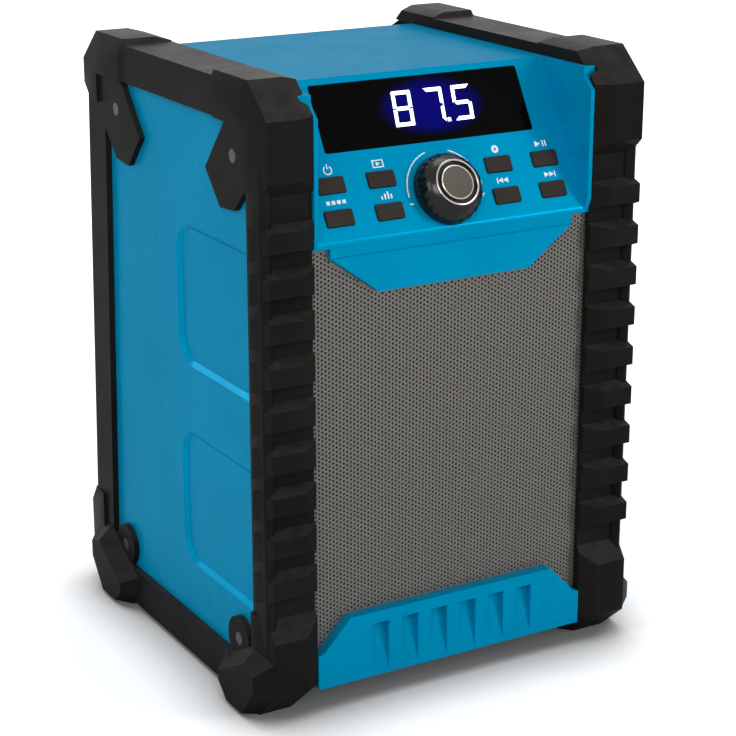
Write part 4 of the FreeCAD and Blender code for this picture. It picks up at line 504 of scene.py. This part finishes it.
def edge_distance(point, outline):
    """How far a 2D point lies from a closed outline, in metres."""
    p = Vector(point)
    best = 1.0
    for a, b in zip(outline, outline[1:] + outline[:1]):
        a, b = Vector(a), Vector(b)
        t = max(0.0, min(1.0, (p - a).dot(b - a) / (b - a).length_squared))
        best = min(best, (p - a - (b - a) * t).length)
    return best


HOLE_PITCH = 2.07 * MM
HOLE_RADIUS = 0.6 * MM
HOLE_SIDES = 8
HOLE_MARGIN = 0.25 * MM


def hole_centres(outline):
    """Staggered rows of holes that stay clear of the outline."""
    xs = [p[0] for p in outline]
    zs = [p[1] for p in outline]
    step = HOLE_PITCH * math.sqrt(3) / 2
    first_x = math.ceil(min(xs) / step) * step
    first_z = math.ceil(min(zs) / HOLE_PITCH) * HOLE_PITCH
    clear = HOLE_RADIUS + HOLE_MARGIN
    centres = []
    for i in range(int((max(xs) - min(xs)) / step) + 2):
        for j in range(int((max(zs) - min(zs)) / HOLE_PITCH) + 2):
            x = first_x + i * step
            z = first_z + (j + 0.5 * (round(x / step) % 2)) * HOLE_PITCH
            if inside((x, z), outline) and edge_distance((x, z), outline) > clear:
                centres.append((x, z))
    return centres


def punched_sheet(name, outline, front, back):
    """A sheet in the XZ plane with round holes, between front and back in Y."""
    count = len(outline)
    points = [Vector(p) for p in outline]
    edges = [(i, (i + 1) % count) for i in range(count)]
    turns = [2 * math.pi * (k + 0.5) / HOLE_SIDES for k in range(HOLE_SIDES)]
    for x, z in hole_centres(outline):
        start = len(points)
        points += [Vector((x + math.cos(t) * HOLE_RADIUS, z + math.sin(t) * HOLE_RADIUS)) for t in turns]
        edges += [(start + k, start + (k + 1) % HOLE_SIDES) for k in range(HOLE_SIDES)]
    drawn = delaunay_2d_cdt(points, edges, [], 1, 1e-7)
    coords, faces, origins = drawn[0], drawn[2], drawn[3]
    hole_of = {}
    for index, sources in enumerate(origins):
        if sources and sources[0] >= count:
            hole_of[index] = (sources[0] - count) // HOLE_SIDES
    kept = []
    for face in faces:
        holes = {hole_of.get(v) for v in face}
        fills_hole = len(holes) == 1 and None not in holes
        if fills_hole:
            continue
        middle = (sum(coords[v][0] for v in face) / 3, sum(coords[v][1] for v in face) / 3)
        if inside(middle, outline):
            kept.append(face)
    size = len(coords)
    rims = dict.fromkeys((a, b) for face in kept for a, b in zip(face, face[1:] + face[:1]))
    polygons = [tuple(reversed(face)) for face in kept]
    polygons += [tuple(v + size for v in face) for face in kept]
    polygons += [(a, b, b + size, a + size) for a, b in rims if (b, a) not in rims]
    draft = bpy.data.meshes.new("sheet_draft")
    draft.from_pydata([(c[0], y, c[1]) for y in (front, back) for c in coords], [], polygons)
    work = bmesh.new()
    work.from_mesh(draft)
    bpy.data.meshes.remove(draft)
    loose = [v for v in work.verts if not v.link_faces]
    bmesh.ops.delete(work, geom=loose, context="VERTS")
    return mesh_from(work, name)


RIM_OUTER = 97.2
RIM_INNER = 91.5
RIM_FRONT = -99.0
RIM_BACK = -83.6
RIM_CORNER = 2.2
RIM_INNER_CORNER = (2.6, 2.4)
RIM_EASE = 1.2
RIM_BEVEL = 0.5
RIM_LOW = 36
RIM_HIGH = 254


def post_rim(name, side):
    """A raised corner strip down a front post, between its two guards."""
    outline = [
        (RIM_INNER, RIM_FRONT + RIM_INNER_CORNER[1]), (RIM_INNER + RIM_INNER_CORNER[0], RIM_FRONT),
        (RIM_OUTER - RIM_CORNER, RIM_FRONT), (RIM_OUTER, RIM_FRONT + RIM_CORNER),
        (RIM_OUTER, RIM_BACK - RIM_EASE), (RIM_OUTER - RIM_EASE, RIM_BACK), (RIM_INNER, RIM_BACK)]
    work = bmesh.new()
    lower, upper = [[work.verts.new((side * x * MM, y * MM, z * MM)) for x, y in outline]
                    for z in (RIM_LOW, RIM_HIGH)]
    work.faces.new(lower)
    work.faces.new(list(reversed(upper)))
    bridge(work, lower, upper)
    strip = new_piece(name, mesh_from(work, name), BLACK)
    bevel = strip.modifiers.new("edges", "BEVEL")
    bevel.width = RIM_BEVEL * MM
    bevel.segments = 2
    apply_modifiers(strip)
    finish_mesh(strip, 40)


post_rim("post_rim_left", -1)
post_rim("post_rim_right", 1)


def mirrored(points):
    """The points reflected across the middle plane, in reverse order."""
    return [(-x, z) for x, z in reversed(points)]


# The right half of the sheet's outline follows the skirt below and the plate under the panel, at a gap.
GAP = 0.15
SKIRT_TOP = (55 + GAP, 44 + GAP)
SKIRT_KNEE = (KNEE_X + KNEE_WIDER + GAP, KNEE_Z + GAP)
SKIRT_SIDE_Z = 28.5 + GAP
PLATE_SHOULDER = (63 + GAP, 211.8 - GAP)
PLATE_FOOT = (39.3 + GAP, 194.5 - GAP)

low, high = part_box("grille")
half = high.x / MM
top = high.z / MM
below = [SKIRT_TOP, SKIRT_KNEE, (half, SKIRT_SIDE_Z)]
above = [(half, top), (PLATE_SHOULDER[0], top), PLATE_SHOULDER, PLATE_FOOT]
sheet = [(x * MM, z * MM) for x, z in mirrored(below) + below + above + mirrored(above)]
grille = new_piece("grille_punched", punched_sheet("grille_punched", sheet, low.y, high.y), GRILLE)
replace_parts(grille, "grille")


# The knob

FLUTES = 24
FLUTE_DEPTH = 0.35
FLUTE_LOW = 0.6
FLUTE_HIGH = 8.4


def flute(angle, height):
    """How deep the grip's flutes cut in, fading out at both ends."""
    if not FLUTE_LOW <= height <= FLUTE_HIGH:
        return 0.0
    fade = math.sin(math.pi * (height - FLUTE_LOW) / (FLUTE_HIGH - FLUTE_LOW)) ** 0.5
    return FLUTE_DEPTH * fade * (0.5 + 0.5 * math.cos(FLUTES * angle)) ** 2


def ring_mesh(name, profile, steps, fluted):
    """A closed profile of radius and height, turned about the knob's axis."""
    work = bmesh.new()
    centre = on_panel(0, KNOB_UP)
    side = Vector((1, 0, 0))
    turns = [2 * math.pi * k / steps for k in range(steps)]
    rows = []
    for radius, height in profile:
        row = []
        for turn in turns:
            reach = radius - flute(turn, height) if fluted else radius
            outward = side * math.cos(turn) + ALONG * math.sin(turn)
            row.append(work.verts.new(centre + outward * reach * MM + NORMAL * height * MM))
        rows.append(row)
    for lower, upper in zip(rows, rows[1:] + rows[:1]):
        bridge(work, lower, upper)
    return mesh_from(work, name)


KNOB_TOP = 11.5
GROOVE = KNOB_TOP - 1.3
knob_profile = [
    (3.02, 0.3), (15.8, 0.3), (16.25, 0.6), (16.3, 1.6), (16.15, 3.2), (15.8, 4.8), (15.2, 6.3),
    (14.4, 7.6), (13.4, 8.9), (12.3, 9.9), (11.3, 10.6), (10.75, KNOB_TOP - 0.55),
    (10.7, KNOB_TOP - 0.4), (10.3, KNOB_TOP - 0.35), (9.7, GROOVE), (3.02, GROOVE)]
ring_profile = [
    (10.55, KNOB_TOP - 0.45), (10.65, KNOB_TOP - 0.15), (10.4, KNOB_TOP), (10.05, KNOB_TOP),
    (9.85, KNOB_TOP - 0.2), (9.8, KNOB_TOP - 0.9)]
disc_profile = [
    (0.01, GROOVE + 0.02), (7.9, GROOVE + 0.02), (7.9, KNOB_TOP - 0.35), (7.6, KNOB_TOP - 0.12),
    (7.3, KNOB_TOP - 0.3), (7.0, KNOB_TOP - 0.36), (0.01, KNOB_TOP - 0.3)]
trim_profile = [
    (7.28, KNOB_TOP - 0.3), (7.92, KNOB_TOP - 0.42), (7.95, KNOB_TOP - 0.2), (7.75, KNOB_TOP - 0.04),
    (7.4, KNOB_TOP - 0.06)]


def turned_piece(name, profile, material, steps=96, fluted=False):
    piece = new_piece(name, ring_mesh(name, profile, steps, fluted), material, "volume_knob")
    finish_mesh(piece, 35)
    return piece


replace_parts(turned_piece("knob_fluted", knob_profile, KNOB, 192, True), "knob_body")
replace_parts(turned_piece("knob_bright_ring", ring_profile, RING), "knob_ring")
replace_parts(turned_piece("knob_top_disc", disc_profile, DISC), "knob_cap")
turned_piece("knob_disc_trim", trim_profile, RING)


# The frame's screws

RECESS_ARM = 4.4
RECESS_WIDE = 1.1
RECESS_DEPTH = 2.4
RECESS_TURN = 25


def islands(work):
    """The points of each separate solid in a working mesh."""
    found = []
    seen = set()
    for vert in work.verts:
        if vert in seen:
            continue
        island, queue = [], [vert]
        seen.add(vert)
        while queue:
            here = queue.pop()
            island.append(here.co.copy())
            for edge in here.link_edges:
                other = edge.other_vert(here)
                if other not in seen:
                    seen.add(other)
                    queue.append(other)
        found.append(island)
    return found


def screw_heads(node):
    """The frame's screws, each with a cross recess cut into its head."""
    work = bmesh.new()
    work.from_mesh(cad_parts[node].data)
    bmesh.ops.remove_doubles(work, verts=work.verts, dist=WELD)
    cutter = bmesh.new()
    turn = Matrix.Rotation(math.radians(RECESS_TURN), 4, "Y")
    for island in islands(work):
        low = Vector([min(p[i] for p in island) for i in range(3)])
        high = Vector([max(p[i] for p in island) for i in range(3)])
        middle = (low + high) / 2
        front = low.y if middle.y < 0 else high.y
        place = Matrix.Translation((middle.x, front, middle.z)) @ turn
        for wide, tall in ((RECESS_ARM, RECESS_WIDE), (RECESS_WIDE, RECESS_ARM)):
            made = bmesh.ops.create_cube(cutter, size=1.0)["verts"]
            size = Matrix.Diagonal((wide * MM, RECESS_DEPTH * MM, tall * MM, 1))
            bmesh.ops.transform(cutter, verts=made, matrix=place @ size)
    work.free()
    tool = bpy.data.objects.new("recess_cutter", mesh_from(cutter, "recess_cutter"))
    scene.collection.objects.link(tool)
    heads = soft_copy(node, SCREW, 0.25)
    recess = heads.modifiers.new("recess", "BOOLEAN")
    recess.object = tool
    recess.operation = "DIFFERENCE"
    recess.use_self = True
    apply_modifiers(heads)
    finish_mesh(heads, 30)
    bpy.data.objects.remove(tool)


screw_heads("frame_screws")


# Display: three lit digits with a point, on a seven-segment pattern.

def plates(name, shapes, thick, height, material):
    """Printed or lit shapes that lie on the control panel, from outlines in millimetres."""
    work = bmesh.new()
    for points in shapes:
        lower = [work.verts.new(on_panel(u, v, height)) for u, v in points]
        upper = [work.verts.new(on_panel(u, v, height + thick)) for u, v in points]
        work.faces.new(upper)
        work.faces.new(list(reversed(lower)))
        bridge(work, lower, upper)
    return new_piece(name, mesh_from(work, name), material)


SEGMENTS = {"8": "abcdefg", "7": "abc", "5": "acdfg"}
DIGITS = ((-15.9, "8"), (0.5, "7"), (15.2, "5"))
DIGIT_LOW = 48.8
DIGIT_WIDE = 9.8
DIGIT_TALL = 16.5
DIGIT_BAR = 1.75
DIGIT_GAP = 0.18
LEAN = 0.11
POINT_LEFT = 11.0
POINT_SIZE = 1.7
POINT_LEAN = 0.2
HALO_BOX = (-23, 43, 33, 71)


def digit(left, lit):
    """Outlines of the lit segments of one digit; bars meet at mitred ends."""
    wide, tall, bar, gap = DIGIT_WIDE, DIGIT_TALL, DIGIT_BAR, DIGIT_GAP
    half = tall / 2
    near, far = gap + bar, wide - gap - bar
    spots = {
        "a": [(gap, tall), (wide - gap, tall), (far, tall - bar), (near, tall - bar)],
        "d": [(gap, 0), (wide - gap, 0), (far, bar), (near, bar)],
        "g": [(gap + bar / 2, half), (near, half + bar / 2), (far, half + bar / 2),
              (wide - gap - bar / 2, half), (far, half - bar / 2), (near, half - bar / 2)],
        "f": [(0, tall - gap), (bar, tall - gap - bar), (bar, half + gap + bar / 2), (0, half + gap)],
        "e": [(0, gap), (bar, near), (bar, half - gap - bar / 2), (0, half - gap)],
        "b": [(wide, tall - gap), (wide - bar, tall - gap - bar), (wide - bar, half + gap + bar / 2),
              (wide, half + gap)],
        "c": [(wide, gap), (wide - bar, near), (wide - bar, half - gap - bar / 2), (wide, half - gap)],
    }
    return [[(left + u + LEAN * v, DIGIT_LOW + v) for u, v in spots[segment]] for segment in lit]


lit_shapes = []
for left, number in DIGITS:
    lit_shapes += digit(left, SEGMENTS[number])
lit_shapes.append([(POINT_LEFT, DIGIT_LOW), (POINT_LEFT + POINT_SIZE, DIGIT_LOW),
                   (POINT_LEFT + POINT_SIZE + POINT_LEAN, DIGIT_LOW + POINT_SIZE),
                   (POINT_LEFT + POINT_LEAN, DIGIT_LOW + POINT_SIZE)])
plates("display_digits", lit_shapes, 0.02, 0.04, SEGMENT)
x0, y0, x1, y1 = HALO_BOX
plates("display_glow", [[(x0, y0), (x1, y0), (x1, y1), (x0, y1)]], 0.01, 0.015, HALO)


# White print on the panel: generic marks beside the controls.

LINE = 0.55
MARK_UP = 7.2
MARK_RIGHT = 0.5


def arc_band(radius, wide, start, end, steps=48, centre=(0.0, KNOB_UP)):
    """A band along an arc, its ends given in degrees."""
    turns = [math.radians(start + (end - start) * k / steps) for k in range(steps + 1)]

    def arc(reach):
        return [(centre[0] + reach * math.cos(turn), centre[1] + reach * math.sin(turn)) for turn in turns]

    return arc(radius + wide / 2) + list(reversed(arc(radius - wide / 2)))


def box_at(u, v, wide, tall):
    left, right = u - wide / 2, u + wide / 2
    bottom, crown = v - tall / 2, v + tall / 2
    return [(left, bottom), (right, bottom), (right, crown), (left, crown)]


def arrow(u, v, size, sign=1):
    back, tip = u - sign * size / 2, u + sign * size / 2
    return [(back, v - size / 2), (tip, v), (back, v + size / 2)]


def mark_place(key):
    u, v = KEYS[key]
    return u + MARK_RIGHT, v + MARK_UP


marks = [arc_band(19.1, LINE, 106, 183), arc_band(19.3, LINE, 70, 2)]
marks += [box_at(-18.7, 13.3, 2.0, LINE), box_at(18.3, 13.7, 2.2, LINE), box_at(18.3, 13.7, LINE, 2.2)]
u, v = mark_place("power")
marks += [arc_band(1.9, LINE, 125, 415, 24, (u, v - 0.2)), box_at(u, v + 1.4, LINE, 2.2)]
u, v = mark_place("source")
marks += [box_at(u - 2.6, v, 0.6, 3.6), box_at(u - 0.2, v + 1.55, 4.2, 0.5),
          box_at(u - 0.2, v - 1.55, 4.2, 0.5), arrow(u, v, 1.9), box_at(u + 2.4, v, 0.6, 3.6)]
u, v = mark_place("preset")
marks += [box_at(u + across, v, 1.7, 1.7) for across in (-3.9, -1.3, 1.3, 3.9)]
u, v = mark_place("band")
marks += [box_at(u + across, v - 1.5 + tall / 2, 0.75, tall)
          for across, tall in ((-2.4, 1.5), (-0.8, 2.5), (0.8, 3.4), (2.4, 2.1))]
u, v = mark_place("pair")
marks += [arc_band(1.25, 1.1, 0, 358, 24, (u, v))]
u, v = mark_place("play")
marks += [arrow(u - 1.9, v, 2.9), box_at(u + 0.9, v, 0.75, 2.9), box_at(u + 2.4, v, 0.75, 2.9)]
u, v = mark_place("previous")
marks += [box_at(u - 3.1, v, 0.6, 2.6), arrow(u - 1.5, v, 2.5, -1), arrow(u + 1.2, v, 2.5, -1)]
u, v = mark_place("next")
marks += [arrow(u - 1.5, v, 2.5), arrow(u + 1.2, v, 2.5), box_at(u + 2.9, v, 0.6, 2.6)]
plates("panel_print", marks, 0.015, 0.005, PRINT)


# Stage: pale floor, soft light and the camera at the photo's place.

WORLD_LIGHT = 0.16
FLOOR_HALF = 3.0
FLOOR_WHITE = 0.97
FLOOR_NEAR = (0.25, 0.4)
FLOOR_FAR = (0.8, 1.0)
# How far the painted shadow reaches round the object, in metres.
PAINTED_SHADOW_REACH = 0.045

# Each light: its place, the height it looks at, its two sides and its watts.
LIGHTS = {
    "top": ((0.3, 0.3, 1.9), 0.15, (1.1, 0.9), 10),
    "front": ((-1.2, -1.7, 1.3), 0.17, (1.2, 0.8), 23),
    "left": ((-1.9, -0.5, 1.3), 0.15, (0.8, 0.8), 8),
    "right": ((1.2, -1.5, 0.8), 0.18, (0.4, 0.8), 13),
    "rear": ((-0.8, 1.9, 1.1), 0.15, (1.0, 0.8), 12),
}
CAMERA_PLACE = (-0.46756, -0.82007, 0.43312)
CAMERA_DOWN = 18.014
CAMERA_TURN = 30.284
CAMERA_SENSOR = 36
CAMERA_LENS = 98.51


def seen_directly(tree, reflections):
    """1 for camera rays and, where asked, for reflected or refracted ones too."""
    path = tree.nodes.new("ShaderNodeLightPath")
    total = path.outputs["Is Camera Ray"]
    for kind in ("Is Glossy Ray", "Is Transmission Ray") if reflections else ():
        add = tree.nodes.new("ShaderNodeMath")
        add.operation = "MAXIMUM"
        tree.links.new(total, add.inputs[0])
        tree.links.new(path.outputs[kind], add.inputs[1])
        total = add.outputs[0]
    return total


def background_world():
    """Plain soft light from all round, and pure white where the background is seen."""
    world = bpy.data.worlds.new("studio")
    scene.world = world
    world.use_nodes = True
    tree = world.node_tree
    tree.nodes.clear()
    output = tree.nodes.new("ShaderNodeOutputWorld")
    plain = tree.nodes.new("ShaderNodeBackground")
    plain.inputs["Color"].default_value = (0.93, 0.96, 1.0, 1)
    plain.inputs["Strength"].default_value = WORLD_LIGHT
    white = tree.nodes.new("ShaderNodeBackground")
    white.inputs["Color"].default_value = (1, 1, 1, 1)
    white.inputs["Strength"].default_value = 1.0
    mix = tree.nodes.new("ShaderNodeMixShader")
    tree.links.new(seen_directly(tree, True), mix.inputs["Fac"])
    tree.links.new(plain.outputs["Background"], mix.inputs[1])
    tree.links.new(white.outputs["Background"], mix.inputs[2])
    tree.links.new(mix.outputs["Shader"], output.inputs["Surface"])


def floor_material():
    """White to the camera, and darker only where the object shades it, with a painted shadow from ambient
    occlusion near the object.
    """
    made, tree, shader = new_material("floor_white")
    shader.inputs["Roughness"].default_value = 0.9
    place = tree.nodes.new("ShaderNodeTexCoord")
    reach = tree.nodes.new("ShaderNodeVectorMath")
    reach.operation = "LENGTH"
    tree.links.new(place.outputs["Object"], reach.inputs[0])
    rise = tree.nodes.new("ShaderNodeMapRange")
    rise.inputs["From Min"].default_value, rise.inputs["To Min"].default_value = FLOOR_NEAR
    rise.inputs["From Max"].default_value, rise.inputs["To Max"].default_value = FLOOR_FAR
    tree.links.new(reach.outputs["Value"], rise.inputs["Value"])
    strength = tree.nodes.new("ShaderNodeMath")
    strength.operation = "MULTIPLY"
    tree.links.new(rise.outputs["Result"], strength.inputs[0])
    tree.links.new(seen_directly(tree, False), strength.inputs[1])
    tree.links.new(strength.outputs[0], shader.inputs["Emission Strength"])
    # Painted shadow: ambient occlusion darkens the floor's colour and its glow where the object stands
    # close.
    painted_shadow = tree.nodes.new("ShaderNodeAmbientOcclusion")
    painted_shadow.inputs["Distance"].default_value = PAINTED_SHADOW_REACH
    shade = ramp(tree, painted_shadow.outputs["AO"], grey(0.12), grey(1.0), 0.3, 0.92)
    tree.links.new(shade, shader.inputs["Emission Color"])
    base = ramp(tree, noise(tree, 3, 2), grey(FLOOR_WHITE * 0.985), grey(FLOOR_WHITE))
    soft = tree.nodes.new("ShaderNodeMixRGB")
    soft.blend_type = "MULTIPLY"
    soft.inputs["Fac"].default_value = 1.0
    tree.links.new(base, soft.inputs["Color1"])
    tree.links.new(shade, soft.inputs["Color2"])
    tree.links.new(soft.outputs["Color"], shader.inputs["Base Color"])
    return made


def floor():
    corners = [(x * FLOOR_HALF, y * FLOOR_HALF, 0) for x, y in ((-1, -1), (1, -1), (1, 1), (-1, 1))]
    mesh = bpy.data.meshes.new("floor")
    mesh.from_pydata(corners, [], [(0, 1, 2, 3)])
    ground = bpy.data.objects.new("floor", mesh)
    scene.collection.objects.link(ground)
    paint(ground, floor_material())


def area_light(name, place, target_height, size, power):
    data = bpy.data.lights.new(name, "AREA")
    data.shape = "RECTANGLE"
    data.size, data.size_y = size
    data.energy = power
    lamp = bpy.data.objects.new(name, data)
    scene.collection.objects.link(lamp)
    lamp.location = place
    sight = Vector((0, 0, target_height)) - Vector(place)
    lamp.rotation_euler = sight.to_track_quat("-Z", "Y").to_euler()


background_world()
floor()
for name, settings in LIGHTS.items():
    area_light(name, *settings)

camera_data = bpy.data.cameras.new("camera")
camera_data.sensor_width = CAMERA_SENSOR
camera_data.lens = CAMERA_LENS
camera_data.clip_start = 0.01
camera = bpy.data.objects.new("camera", camera_data)
scene.collection.objects.link(camera)
camera.location = CAMERA_PLACE
camera.rotation_euler = (math.radians(90 - CAMERA_DOWN), 0, math.radians(-CAMERA_TURN))
scene.camera = camera
scene.view_settings.view_transform = "Standard"
